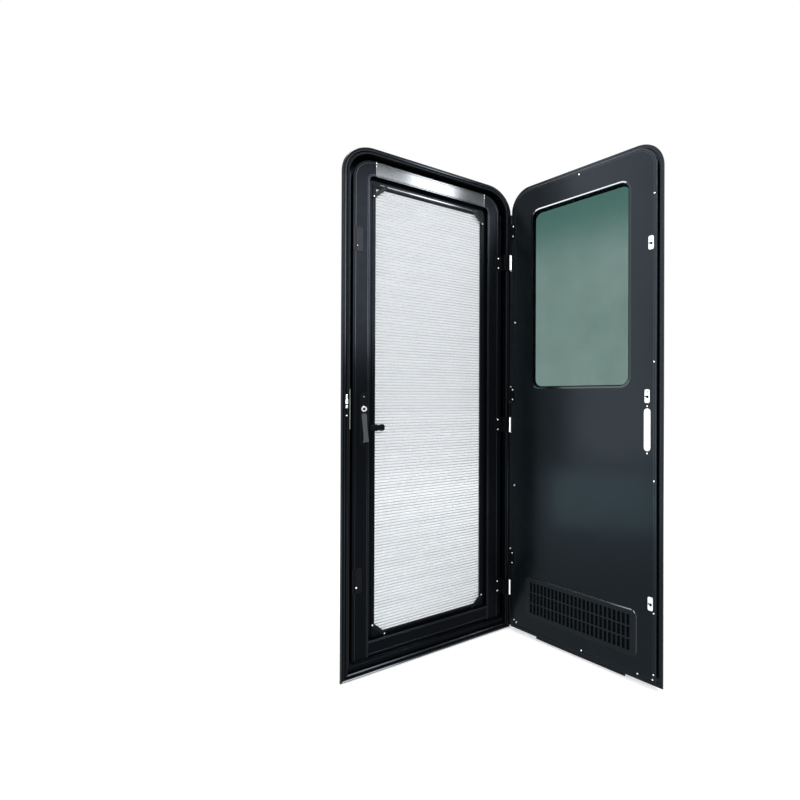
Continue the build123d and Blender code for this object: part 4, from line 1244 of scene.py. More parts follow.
@dataclass
class InsectMesh:
    """Mesh in its channel, with its trim, woven wires and the four corner brackets."""

    trim: float = 12.0
    pitch: float = 2.6
    wire: float = 0.36
    band_pitch: float = 10.8
    band: Point2 = (4.2, 0.5)
    strap: Point2 = (70.0, 12.0)
    strap_shift: float = 14.6
    strap_proud: float = 1.6
    screw: float = 2.9
    screw_reach: float = 0.42
    hole_place: float = 0.62
    hole_share: float = 0.36
    bright_ends: tuple[tuple[int, int, int], ...] = ((1, -1, -1), (1, 1, 1), (-1, -1, -1), (-1, -1, 1), (-1, 1, 1))

    def __post_init__(self) -> None:
        """Read the mesh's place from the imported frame."""
        self.net = STANDING.span("screen_mesh")
        self.outline = Oblong((self.net.middle.x, self.net.middle.z), (self.net.size.x, self.net.size.z), 0.6)

    def wires(self, name: str, along: Vector, pitch: Vector, depth: float, *nodes: str) -> None:
        """Row of straight wires across the mesh.

        Args:
            name: Name of the piece.
            along: Direction and length of a wire.
            pitch: Step from one wire to the next.
            depth: Depth of the wires' centres.
            nodes: CAD nodes that it stands for.
        """
        wire = Shape().lathe(Vector(), along.normalized(), [(self.wire, 0), (self.wire, along.length)], sides=6)
        across = self.net.size.z if pitch.z else self.net.size.x
        count = int(across / pitch.length)
        spare = (across - (count - 1) * pitch.length) / 2
        start = Vector((self.net.low.x, depth, self.net.low.z)) + pitch.normalized() * spare
        lay_row(name, wire, count, start, pitch, Body.SCREEN, MESH_WIRE, *nodes)

    def build(self) -> None:
        """Make and hand over the wires, the trim and the brackets."""
        across, upright = Vector((self.net.size.x, 0, 0)), Vector((0, 0, self.net.size.z))
        depth = self.net.middle.y
        self.wires("mesh_upright_wires", upright, Vector((self.pitch, 0, 0)), depth + self.wire, "screen_mesh")
        self.wires("mesh_level_wires", across, Vector((0, 0, self.pitch)), depth - self.wire)
        self.bands()
        dress("mesh_channel", POWDER_COAT)
        front = STANDING.span("mesh_channel").low.y
        profile = rounded([(-0.4, front + 4.2, 0), (-0.4, front - 0.4, 1.4), (self.trim * 0.45, front - 0.4, 0.6),
                           (self.trim * 0.45, front + 0.3, 0.4), (self.trim * 0.6, front + 0.3, 0.4),
                           (self.trim * 0.6, front - 0.4, 0.6), (self.trim + 0.2, front - 0.4, 1.2),
                           (self.trim + 0.2, self.net.low.y, 0)], steps=3)
        shares = [(inset * (1 / self.trim), depth) for inset, depth in profile]
        trim = Shape().ring(self.outline.grown(self.trim), self.outline, shares)
        top = (self.net.middle.x, self.net.high.z + self.trim * 0.78)
        trim.plate(top, (self.net.size.x - 30, self.trim * 0.4), 0.6, front, front - 0.7, edge=0.4, finish=1)
        hand_over(trim, "mesh_trim", Body.SCREEN, [POWDER_COAT, GLOSS_COAT])
        self.brackets()

    def bands(self) -> None:
        """Lay the flat level bands that are woven into the mesh."""
        tall, deep = self.band
        section = rounded_rectangle((0, 0), (deep, tall), deep * 0.4, steps=2)
        band = Shape().loft([[Vector((x, y, z)) for y, z in section] for x in (0, self.net.size.x)])
        count = int(self.net.size.z / self.band_pitch)
        spare = (self.net.size.z - (count - 1) * self.band_pitch) / 2
        start = Vector((self.net.low.x, self.net.middle.y, self.net.low.z + spare))
        lay_row("mesh_bands", band, count, start, Vector((0, 0, self.band_pitch)), Body.SCREEN, MESH_BAND)

    def brackets(self) -> None:
        """Dress the four brackets and lay a strap with screws along each one's long edge."""
        heads = []
        straps = Shape()
        front = STANDING.span("mesh_bracket_upper_latch").low.y
        face = front - self.strap_proud
        for rise in (-1, 1):
            for side in (-1, 1):
                x = self.net.low.x + self.strap_shift if side < 0 else self.net.high.x - self.strap_shift
                z = self.net.low.z + self.strap_shift if rise < 0 else self.net.high.z - self.strap_shift
                slope = -45 if side * rise > 0 else 45
                straps.plate((x, z), self.strap, 4.0, front, face, edge=0.8, turn=slope)
                for end in (-1, 1):
                    if (rise, side, end) in self.bright_ends:
                        reach = end * self.strap[0] * self.screw_reach
                        at = Vector((x + reach * cos(radians(slope)), face, z + reach * sin(radians(slope))))
                        heads.append(Screw(at, OUTWARDS, self.screw))
        for corner in ("upper_hinge", "lower_latch", "lower_hinge"):
            dress(f"mesh_bracket_{corner}", BLACK_PLASTIC)
        self.pierced_bracket("mesh_bracket_upper_latch")
        hand_over(straps, "mesh_corner_straps", Body.SCREEN, [DARK_STEEL])
        fasten("mesh_corner_screws", heads, Body.SCREEN)

    def pierced_bracket(self, node: str) -> None:
        """Make the upper bracket on the latch side, which has a three-sided hole.

        Args:
            node: Its CAD node.
        """
        span = STANDING.span(node)
        corners = [Vector((span.low.x, 0, span.high.z)), Vector((span.low.x, 0, span.low.z)),
                   Vector((span.high.x, 0, span.high.z))]
        middle = corners[0].lerp((corners[1] + corners[2]) / 2, self.hole_place)
        rings = []
        for corner in corners:
            hole = middle.lerp(corner, self.hole_share)
            edges = ((corner, span.high.y), (corner, span.low.y), (hole, span.low.y), (hole, span.high.y))
            rings.append([Vector((at.x, depth, at.z)) for at, depth in edges])
        hand_over(Shape().loft(rings, wrap=True), f"{node}_dressed", Body.SCREEN, [BLACK_PLASTIC], node)


@dataclass
class ScreenLock:
    """Lock of the screen door: plate, key cylinder, tilted lever and knob."""

    lever_width: float = 18.0
    lever_length: float = 100.0
    lever_thickness: float = 3.0
    lever_tilt: float = 4.0
    screw: float = 2.4
    screw_rise: float = 0.84

    def build(self) -> None:
        """Make and hand over the lock's pieces."""
        span = STANDING.span("screen_lock_plate")
        self.front = span.low.y
        self.x, self.z = span.middle.x, span.middle.z
        plate = Shape().plate((self.x, self.z), (span.size.x, span.size.z), span.size.x / 2 - 0.01, span.high.y,
                              self.front, edge=1.0)
        hand_over(plate, "screen_lock_plate_dressed", Body.SCREEN, [BLACK_PLASTIC], "screen_lock_plate")
        self.cylinder()
        self.lever()
        self.knob()
        heads = [Screw(Vector((self.x, self.front, self.z + rise * span.size.z / 2)), OUTWARDS, self.screw)
                 for rise in (-self.screw_rise, self.screw_rise)]
        fasten("screen_lock_screws", heads, Body.SCREEN, GREY_STEEL)

    def cylinder(self) -> None:
        """Bright key cylinder with a dark core and its key slot."""
        span = STANDING.span("screen_lock_cylinder")
        radius, proud = span.size.x / 2, span.size.y
        at = Vector((span.middle.x, span.high.y, span.middle.z))
        shape = Shape()
        shape.lathe(at, OUTWARDS, [(radius, 0), (radius, proud - 1.2), (radius - 1.2, proud), (radius * 0.52, proud),
                                   (radius * 0.46, proud - 0.8), (0.3, proud - 0.8)])
        shape.lathe(at, OUTWARDS, [(0.3, proud - 1), (radius * 0.44, proud - 1), (radius * 0.44, proud - 0.5),
                                   (radius * 0.38, proud - 0.3), (0.3, proud - 0.3)], finish=1)
        # Painted shade: a thin dark plate on the face stands in for the shaded key slot.
        shape.plate((at.x, at.z), (1.0, radius * 0.4), 0.4, at.y - proud + 1, at.y - proud + 0.15, edge=0.2, finish=1)
        collar = [(radius * 1.3, 0), (radius * 1.3, 0.5), (radius * 1.2, 0.9), (radius * 0.9, 0.9)]
        shape.lathe(at, OUTWARDS, collar, finish=1)
        hand_over(shape, "screen_lock_cylinder_dressed", Body.SCREEN, [CHROME, RUBBER], "screen_lock_cylinder")

    def lever(self) -> None:
        """Grey pull lever that stands off the plate towards its lower end."""
        span = STANDING.span("screen_lever")
        tip = span.low.y
        top = span.high.z
        stations = ((0.0, 0.78), (0.012, 0.92), (0.03, 1.0), (0.2, 1.0), (0.4, 0.92), (0.7, 0.88), (0.9, 0.97),
                    (0.965, 1.0), (0.985, 0.94), (1.0, 0.78))
        rings = []
        for share, wide in stations:
            front = self.front - self.lever_thickness + (tip - self.front + self.lever_thickness) * min(share / 0.97, 1)
            back = self.front if share < 0.18 else front + self.lever_thickness
            centre_x = self.x + share * self.lever_length * sin(radians(self.lever_tilt))
            z = top - share * self.lever_length * cos(radians(self.lever_tilt))
            outline = rounded_rectangle((centre_x, (front + back) / 2), (self.lever_width * wide, back - front),
                                        min(1.3, (back - front) / 2 - 0.1), steps=4)
            rings.append([Vector((x, y, z)) for x, y in outline])
        shape = Shape().loft(rings)
        hand_over(shape, "screen_lever_dressed", Body.SCREEN, [GREY_PLASTIC], "screen_lever")

    def knob(self) -> None:
        """Black latch knob with rounded ends and a finger groove."""
        span = STANDING.span("screen_knob")
        deep, tall, length = span.size.y, span.size.z, span.size.x
        stations = ((0.0, 0.55), (0.02, 0.74), (0.06, 0.9), (0.14, 1.0), (0.5, 1.0), (0.56, 0.86), (0.66, 0.86),
                    (0.72, 1.0), (0.88, 1.0), (0.95, 0.88), (0.985, 0.72), (1.0, 0.52))
        rings = []
        for share, full in stations:
            outline = rounded_rectangle((0, 0), (deep * (0.5 + full / 2), tall * full), deep * full * 0.44, steps=5)
            x = span.low.x + share * length
            rings.append([Vector((x, span.middle.y + y, span.middle.z + z)) for y, z in outline])
        hand_over(Shape().loft(rings), "screen_knob_dressed", Body.SCREEN, [BLACK_PLASTIC], "screen_knob")


@dataclass
class OuterLeaf:
    """Outer door: panel, bent edge extrusion with its bottom rail, edge bead and sweep strip."""

    lip: float = 13.0
    groove_end: float = 24.0
    trim: float = 28.0
    seam: float = 2.2
    cover: float = 5.0
    bevel: float = 3.0
    groove_drop: float = 3.0
    screw_places: tuple[Point2, ...] = (
        (-7.5, 1781), (-287, 1631), (-287, 1077), (-287, 684), (-287, 251), (287, 1266), (287, 598), (-22, 33),
        (-233, 33), (-284, 33), (-287, 50), (287, 47), (276, 39))

    def __post_init__(self) -> None:
        """Read the leaf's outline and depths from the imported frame."""
        hoop, panel = HINGED.span("door_edge_hoop"), HINGED.span("door_panel")
        self.inset = hoop.low.x - WALL.low.x
        self.front, self.lip_back = hoop.low.y, hoop.high.y
        self.panel_front, self.panel_back = panel.low.y, panel.high.y
        self.arch = Arch(WALL, CORNER_RADIUS, self.inset, self.inset, self.inset, self.inset)

    def section(self) -> list[Point2]:
        """Section of the edge: bevelled lip, groove and the trim that laps the panel.

        Returns:
            Closed profile of insets and depths.
        """
        floor = self.lip_back - self.groove_drop
        return rounded([
            (0, self.lip_back, 1.2), (0, self.front + self.bevel, 1.2), (self.bevel, self.front, 1.8),
            (self.trim, self.front, 0.9), (self.trim, self.panel_front, 0.1), (self.groove_end, self.panel_front, 0.1),
            (self.groove_end, floor, 0.2), (self.lip, floor, 0.8), (self.lip, self.lip_back, 1.2)])

    def build(self) -> None:
        """Make and hand over the edge, the bead, the sweep strip and the screws."""
        dress("door_panel", PANEL_SKIN)
        for node, line in (("door_edge_hoop", self.arch.line), ("door_bottom_rail", self.arch.foot_line)):
            hand_over(Shape().sweep(self.section(), line), f"{node}_dressed", Body.LEAF, [EDGE_COAT], node)
        start, back = self.groove_end - 0.7, self.panel_back
        bead = rounded([(start, back - 6, 0.2), (start, back + 0.6, 1.3), (start + 4.2, back + 0.6, 0.5),
                        (start + 4.2, back - 0.1, 0), (start + 0.75, back - 0.1, 0),
                        (start + 0.75, back - 6, 0)], steps=3)
        edge = Shape().sweep(bead, self.arch.line, wrap=True)
        cover = rounded([(start - self.cover, back - 1.6, 0.2), (start - self.cover, back + 0.6, 1.2),
                         (start + 7, back + 0.6, 0.5), (start + 7, back - 0.1, 0), (start, back - 1.6, 0)], steps=4)
        edge.sweep(cover, self.latch_line, finish=1)
        hand_over(edge, "panel_edge_bead", Body.LEAF, [EDGE_COAT, BEAD_COAT])
        # Painted shadow: a black strip along the trim's inner edge stands in for the shadow in the gap between trim and
        # panel.
        near, far = self.trim - 0.6, self.trim + self.seam
        seam = rounded([(near, self.panel_front + 0.3, 0), (near, self.panel_front - 0.25, 0),
                        (far, self.panel_front - 0.25, 0.1), (far, self.panel_front + 0.3, 0)])
        hand_over(Shape().sweep(seam, self.arch.line, wrap=True), "panel_seam", Body.LEAF, [PAINTED_SHADE_BLACK])
        self.sweep_strip()
        self.edge_screws()

    def latch_line(self, inset: float) -> list[Point2]:
        """Line up the latch side and along the head, as far as the hinge side's corner."""
        line = self.arch.line(inset)
        latch_first = line if line[0][0] < 0 else line[::-1]
        return latch_first[:len(line) // 2 + 1]

    def sweep_strip(self) -> None:
        """Make the rubber sweep under the bottom rail: a carrier with a bent lip."""
        span = HINGED.span("door_sweep")
        y0, y1, z0, z1 = span.low.y, span.high.y, span.low.z, span.high.z
        lip = rounded([(y0, z1, 0.2), (y0, z1 - 4, 0.5), (y0 + 0.9, z1 - 4.4, 0.4), (y0 + 0.4, z0, 0.4),
                       (y0 + 1.6, z0, 0.4), (y0 + 2.1, z1 - 4.4, 0.4), (y1, z1 - 4, 0.5), (y1, z1, 0.2)], steps=3)
        shape = Shape().loft([[Vector((x, y, z)) for y, z in lip] for x in (span.low.x, span.middle.x, span.high.x)])
        hand_over(shape, "door_sweep_dressed", Body.LEAF, [RUBBER], "door_sweep")

    def edge_screws(self) -> None:
        """Set the screws along the edge of the panel's inner face."""
        heads = [Screw(Vector((x, self.panel_back + 0.5, z)), INWARDS, 2.8) for x, z in self.screw_places]
        fasten("door_edge_screws", heads, Body.LEAF)


@dataclass
class Window:
    """Fixed double window: tinted outer pane, clear inner pane, outer frame with its gasket, and inner bead."""

    glass_radius: float = 30.0
    outer_radius: float = 40.0
    bead: float = 9.0
    bevel: float = 6.2
    gasket: float = 2.0
    pane_setback: float = 2.0

    def build(self) -> None:
        """Make and hand over the frame, gasket, bead and inner pane, and dress the outer pane."""
        dress("window_glass", TINTED_GLASS)
        outer, inner = HINGED.span("window_outer_frame"), HINGED.span("window_inner_frame")
        centre = (inner.middle.x, inner.middle.z)
        opening = Oblong(centre, (inner.size.x - 2 * self.bead, inner.size.z - 2 * self.bead), self.glass_radius)
        rim = Oblong(centre, (outer.size.x, outer.size.z), self.outer_radius)
        back, front = outer.high.y, outer.low.y
        profile = [(0, back), (0.0, front + 1.4), (0.04, front + 0.5), (0.12, front), (0.6, front), (0.66, front + 0.3),
                   (0.7, front + 0.9), (0.97, front + 1.2), (1.0, front + 1.6), (1.0, back)]
        border = Shape().ring(rim, opening, profile)
        hand_over(border, "window_outer_frame_dressed", Body.LEAF, [BLACK_PLASTIC], "window_outer_frame")
        pane_face = inner.high.y - self.pane_setback
        pane = Shape().plate(centre, opening.grown(2).size, self.glass_radius + 2, pane_face - 2.5, pane_face, edge=0.3)
        hand_over(pane, "window_inner_pane", Body.LEAF, [CLEAR_GLASS])
        lip = [(0, back), (0, front + 1.5), (0.35, front + 1.3), (0.8, back - 0.5), (1, back)]
        gasket = Shape().ring(opening.grown(0.2), opening.grown(-self.gasket), lip)
        hand_over(gasket, "window_gasket", Body.LEAF, [RUBBER])
        edge = Oblong(centre, (inner.size.x, inner.size.z), self.glass_radius + self.bead)
        face, seat, liner = inner.high.y, inner.low.y, self.bead / 2
        panel_back = HINGED.span("door_panel").high.y
        profile = rounded([(self.bevel, panel_back, 0), (self.bevel, face, 0.3), (self.bead, face, 1.2),
                           (self.bead, seat, 0), (liner, seat, 0), (liner, panel_back, 0)], steps=5)
        shares = [(inset / self.bead, depth) for inset, depth in profile]
        slope = [(0, panel_back - 0.5), (0, panel_back + 0.2), (0.96, face - 0.1), (1, face), (1, panel_back - 0.5)]
        shape = Shape().ring(edge, opening, shares)
        shape.ring(edge, edge.grown(-self.bevel), slope, finish=1)
        hand_over(shape, "window_inner_frame_dressed", Body.LEAF, [POWDER_COAT, POLISHED_COAT], "window_inner_frame")


class Side(Enum):
    """Faces of the outer door."""

    OUTSIDE = "outer"
    INSIDE = "inner"


@dataclass
class Vent:
    """Low vent: a slotted grille on each face with a dark net behind it, which paints the shade inside the slots."""

    columns: int = 25
    slot: Point2 = (10.0, 37.0)
    pitch: Point2 = (16.75, 42.0)
    rows: int = 3
    radius: float = 22.0
    chamfer: float = 2.6

    @property
    def grid(self) -> Point2:
        """Width and height of the slotted grid."""
        return ((self.columns - 1) * self.pitch[0] + self.slot[0], (self.rows - 1) * self.pitch[1] + self.slot[1])

    def build(self) -> None:
        """Make and hand over both grilles and the nets."""
        for side in Side:
            self.grille(side)
        self.nets()

    def grille(self, side: Side) -> None:
        """Grille on one face: rounded border, uprights and cross bars.

        Args:
            side: Face of the door.
        """
        node = f"vent_{side.value}_grille"
        span = HINGED.span(node)
        centre = (span.middle.x, span.middle.z)
        back, front = (span.high.y, span.low.y) if side is Side.OUTSIDE else (span.low.y, span.high.y)
        out = -1 if side is Side.OUTSIDE else 1
        rim = Oblong(centre, (span.size.x, span.size.z), self.radius)
        opening = Oblong(centre, self.grid, 0.5)
        face_start = rim.grown(-self.chamfer)
        profile = [(0, back), (0, front), (0.9, front), (0.97, front - out * 0.3), (1, front - out * 1.0), (1, back)]
        chamfer = [(0, back), (0, back + out * 0.6), (0.9, front - out * 0.2), (1, front), (1, back)]
        border = Shape().ring(face_start, opening, profile).ring(rim, face_start, chamfer, finish=1)
        hand_over(border, f"{node}_dressed", Body.LEAF, [VENT_PLASTIC, GLOSS_COAT], node)
        upright = (self.pitch[0] - self.slot[0], self.grid[1] + 0.4)
        bar = Shape().plate((0, 0), upright, 0.2, back, front - out * 0.2, edge=1.2)
        start = Vector((centre[0] - self.grid[0] / 2 + self.slot[0] + upright[0] / 2, 0, centre[1]))
        step = Vector((self.pitch[0], 0, 0))
        lay_row(f"vent_{side.value}_uprights", bar, self.columns - 1, start, step, Body.LEAF, VENT_PLASTIC)
        level = (self.grid[0] + 0.4, self.pitch[1] - self.slot[1])
        bar = Shape().plate((0, 0), level, 0.2, back, front - out * 0.3, edge=1.0)
        start = Vector((centre[0], 0, centre[1] - self.grid[1] / 2 + self.slot[1] + level[1] / 2))
        step = Vector((0, 0, self.pitch[1]))
        lay_row(f"vent_{side.value}_cross_bars", bar, self.rows - 1, start, step, Body.LEAF, VENT_PLASTIC)

    def nets(self) -> None:
        """Make the fine dark net behind each grille, which keeps insects and sight out and is painted shade behind the
        slots.
        """
        outer, inner = HINGED.span("vent_outer_grille"), HINGED.span("vent_inner_grille")
        centre, size = (outer.middle.x, outer.middle.z), (self.grid[0] + 2, self.grid[1] + 2)
        # Painted shade: a solid near-black plate behind each grille makes the slots read dark.
        shape = Shape().plate(centre, size, 0.5, outer.high.y + 1.6, outer.high.y + 0.6, edge=0.1)
        shape.plate(centre, size, 0.5, inner.low.y - 1.6, inner.low.y - 0.6, edge=0.1)
        hand_over(shape, "vent_nets", Body.LEAF, [PAINTED_SHADE_BLACK])


@dataclass
class OuterHandle:
    """Recessed outer handle: body with its pocket, bright surround, key cylinder and pull lever."""

    pocket: Point2 = (33.0, 142.0)
    pocket_below: float = 27.0
    pocket_radius: float = 15.0
    head: Point2 = (30.0, 23.0)
    trim: float = 2.4
    band: float = 4.8
    lever_width: float = 20.0
    lever_thickness: float = 3.0
    pin: float = 2.5
    pin_drop: float = 6.0
    screw: float = 2.8
    screw_gap: float = 7.5

    def build(self) -> None:
        """Make and hand over the handle's pieces."""
        span = HINGED.span("handle_body")
        key = HINGED.span("handle_cylinder")
        self.centre = (span.middle.x, span.middle.z)
        self.front, self.floor, self.skin = span.low.y, key.high.y, HINGED.span("door_panel").low.y
        self.well = Oblong((self.centre[0], self.centre[1] - self.pocket_below), self.pocket, self.pocket_radius)
        self.body(span)
        self.cylinder(key)
        self.lever()
        self.cover()

    def body(self, span: Span) -> None:
        """Body with a rounded rim, its pocket, the bright surround and the grey head.

        Args:
            span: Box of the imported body.
        """
        tall = span.size.z - self.head[1] / 3
        rim = Oblong((self.centre[0], span.low.z + tall / 2), (span.size.x, tall), span.size.x / 2 - 0.1)
        face, floor = self.front, self.floor
        profile = [(0, self.skin), (0, face + 2.4), (0.05, face + 0.9), (0.16, face), (0.94, face), (0.999, face + 0.6),
                   (1, face + 1.2), (1, floor), (0.9, floor), (0.9, self.skin)]
        shape = Shape().ring(rim, self.well, profile)
        shape.plate(self.well.centre, self.well.size, self.pocket_radius, floor + 0.8, floor, edge=0.1, finish=1)
        shoulder = span.high.z - self.head[1]

        def u_line(inset: float) -> list[Point2]:
            """Line down one side of the body, round its foot and up the other side."""
            outline = rim.grown(-inset).outline()
            quarter = len(outline) // 4
            foot = [*outline[3 * quarter:], *outline[:quarter]]
            return [(foot[0][0], shoulder), *foot, (foot[-1][0], shoulder)]

        trim = rounded([(0.2, face + 2.4, 0), (0.2, face - 0.4, 0.5), (self.trim, face - 0.8, 0.5),
                        (self.trim, face + 0.8, 0)], steps=3)
        band = rounded([(self.trim, face + 0.8, 0), (self.trim, face - 0.4, 0.2), (self.band, face - 0.4, 0.5),
                        (self.band, face + 0.8, 0)], steps=3)
        shape.sweep(trim, u_line, finish=2).sweep(band, u_line, finish=3)
        head_at = (self.centre[0], span.high.z - self.head[1] / 2)
        shape.plate(head_at, self.head, 4.0, self.skin, face - 0.9, edge=0.9, finish=3)
        finishes = [BLACK_PLASTIC, RUBBER, CHROME, GREY_PLASTIC]
        hand_over(shape, "handle_body_dressed", Body.LEAF, finishes, "handle_body")

    def cylinder(self, span: Span) -> None:
        """Key cylinder with a bright collar and its key slot.

        Args:
            span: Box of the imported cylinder.
        """
        radius, length = span.size.x / 2, span.size.y
        at = Vector((span.middle.x, span.high.y, span.middle.z))
        turned = [(radius, 0), (radius, length - 1.0), (radius - 0.9, length), (radius * 0.8, length),
                  (radius * 0.76, length - 0.7), (radius * 0.7, length - 0.6), (0.3, length - 0.4)]
        shape = Shape().lathe(at, OUTWARDS, turned)
        # Painted shade: a thin dark plate on the face stands in for the shaded key slot.
        shape.plate((at.x, at.z), (1.8, radius * 0.95), 0.8, span.low.y + 0.7, span.low.y + 0.2, edge=0.2, finish=1)
        hand_over(shape, "handle_cylinder_dressed", Body.LEAF, [CHROME, RUBBER], "handle_cylinder")

    def lever(self) -> None:
        """Pull lever with a dished grip, turning on a pin across the pocket."""
        span = HINGED.span("handle_lever")
        width, thickness, pin = self.lever_width, self.lever_thickness, self.pin
        front, pivot_y, pivot_z = span.low.y, span.high.y - pin, span.high.z - self.pin_drop
        stations = ((0.0, 0.7, 0.4), (0.015, 0.86, 0.15), (0.05, 1.0, 0.0), (0.25, 1.0, 0.0), (0.45, 0.96, 0.0),
                    (0.75, 0.98, 0.0), (0.92, 1.0, 0.0), (0.97, 0.9, 0.15), (0.99, 0.78, 0.35), (1.0, 0.62, 0.6))
        rings = []
        for share, wide, back_off in stations:
            dish = 0.6 * sin(share * pi)
            near = front + back_off * thickness * 0.6
            far = front + thickness + dish
            outline = rounded_rectangle((span.middle.x, (near + far) / 2), (width * wide, far - near),
                                        min(1.2, (far - near) / 2 - 0.1), steps=4)
            rings.append([Vector((x, y, span.high.z - share * span.size.z)) for x, y in outline])
        left, right, length = span.middle.x - width / 2 + 0.2, span.middle.x + width / 2 - 0.2, span.size.x
        lug = rounded([(left, front + 1, 0.3), (right, front + 1, 0.3), (right, pivot_y, 0.3), (left, pivot_y, 0.3)],
                      steps=2)
        shape = Shape().loft(rings).prism(lug, pivot_z - pin, pivot_z + pin)
        turned = [(0.3, 0), (pin - 0.4, 0), (pin, 0.4), (pin, length - 0.4), (pin - 0.4, length), (0.3, length)]
        shape.lathe(Vector((span.low.x, pivot_y, pivot_z)), Vector((1, 0, 0)), turned, finish=1)
        hand_over(shape, "handle_lever_dressed", Body.LEVER, [GREY_PLASTIC, BRIGHT_STEEL], "handle_lever")

    def cover(self) -> None:
        """White cover on the inside of the lock, with a raised border and a screw above and below."""
        span = HINGED.span("handle_back_cover")
        centre, size = (span.middle.x, span.middle.z), (span.size.x, span.size.z)
        radius, back, face = size[0] / 2 - 0.01, span.low.y, span.high.y
        shape = Shape().plate(centre, size, radius, back, face - 0.5, edge=0.8)
        outer = Oblong(centre, (size[0] - 1.2, size[1] - 1.2), radius - 0.6)
        border = [(0, face - 0.7), (0.2, face - 0.1), (0.5, face), (0.8, face - 0.1), (1, face - 0.7)]
        shape.ring(outer, outer.grown(-2.6), border)
        hand_over(shape, "handle_back_cover_dressed", Body.LEAF, [WHITE_PLASTIC], "handle_back_cover")
        reach = size[1] / 2 + self.screw_gap
        heads = [Screw(Vector((centre[0], back, centre[1] + side * reach)), INWARDS, self.screw) for side in (-1, 1)]
        fasten("handle_cover_screws", heads, Body.LEAF)


@dataclass
class Catches:
    """Plated catches on the free edge of the outer door's inner face, which hold the screen door to it."""

    plate: float = 2.0
    stud_up: float = 14.0
    stud_radius: float = 4.0
    hole: float = 4.6
    screw: float = 2.4
    screw_inset: float = 7.0
    names: tuple[str, ...] = ("upper", "middle", "lower")

    def build(self) -> None:
        """Make and hand over the three catches and their screws."""
        heads = []
        for name in self.names:
            node = f"door_catch_{name}"
            span = HINGED.span(node)
            face, x, z = span.low.y + self.plate, span.middle.x, span.middle.z
            shape = Shape().plate((x, z - 1.5), (span.size.x - 2.5, span.size.z - 5), 5.0, span.low.y, face, edge=0.6)
            reach = span.high.y - face
            radius = self.stud_radius
            stud = [(radius - 0.6, 0), (radius - 1.2, reach * 0.4), (radius - 0.4, reach * 0.6), (radius, reach * 0.75),
                    (radius - 0.6, reach - 0.3), (radius * 0.6, reach), (0.3, reach)]
            shape.lathe(Vector((x, face, z + self.stud_up)), INWARDS, stud, finish=1, sides=20)
            # Painted shade: a dark disc and a dark slot on the plate stand in for the shaded hole and slit.
            hole = [(0.3, 0.25), (self.hole - 0.2, 0.25), (self.hole, 0.1), (self.hole, -0.5)]
            shape.lathe(Vector((x - 1, face, z - 4)), INWARDS, hole, finish=2, sides=16)
            shape.plate((x + 3, z - 2), (span.size.x / 2, 4.0), 1.6, face - 0.5, face + 0.25, edge=0.1, finish=2)
            hand_over(shape, f"{node}_dressed", Body.LEAF, [PLATED_ZINC, CHROME, PAINTED_SHADE_BLACK], node)
            spread = span.size.z / 2 - self.screw_inset
            heads += [Screw(Vector((x, face, z - 1.5 + side * spread)), INWARDS, self.screw) for side in (-1, 1)]
        fasten("door_catch_screws", heads, Body.LEAF)


@dataclass(frozen=True)
class Lamp:
    """Soft rectangular lamp."""

    name: str
    at: tuple[float, float, float]
    aim: tuple[float, float, float]
    size: Point2
    watts: float
    colour: tuple[float, float, float] = (1.0, 1.0, 1.0)

    def make(self) -> None:
        """Add the lamp to the scene, facing its aim."""
        light = bpy.data.lights.new(self.name, "AREA")
        light.shape = "RECTANGLE"
        light.size, light.size_y = self.size
        light.energy = self.watts
        light.color = self.colour
        lamp = bpy.data.objects.new(self.name, light)
        lamp.location = self.at
        lamp.rotation_euler = (Vector(self.aim) - Vector(self.at)).to_track_quat("-Z", "Y").to_euler()
        bpy.context.scene.collection.objects.link(lamp)


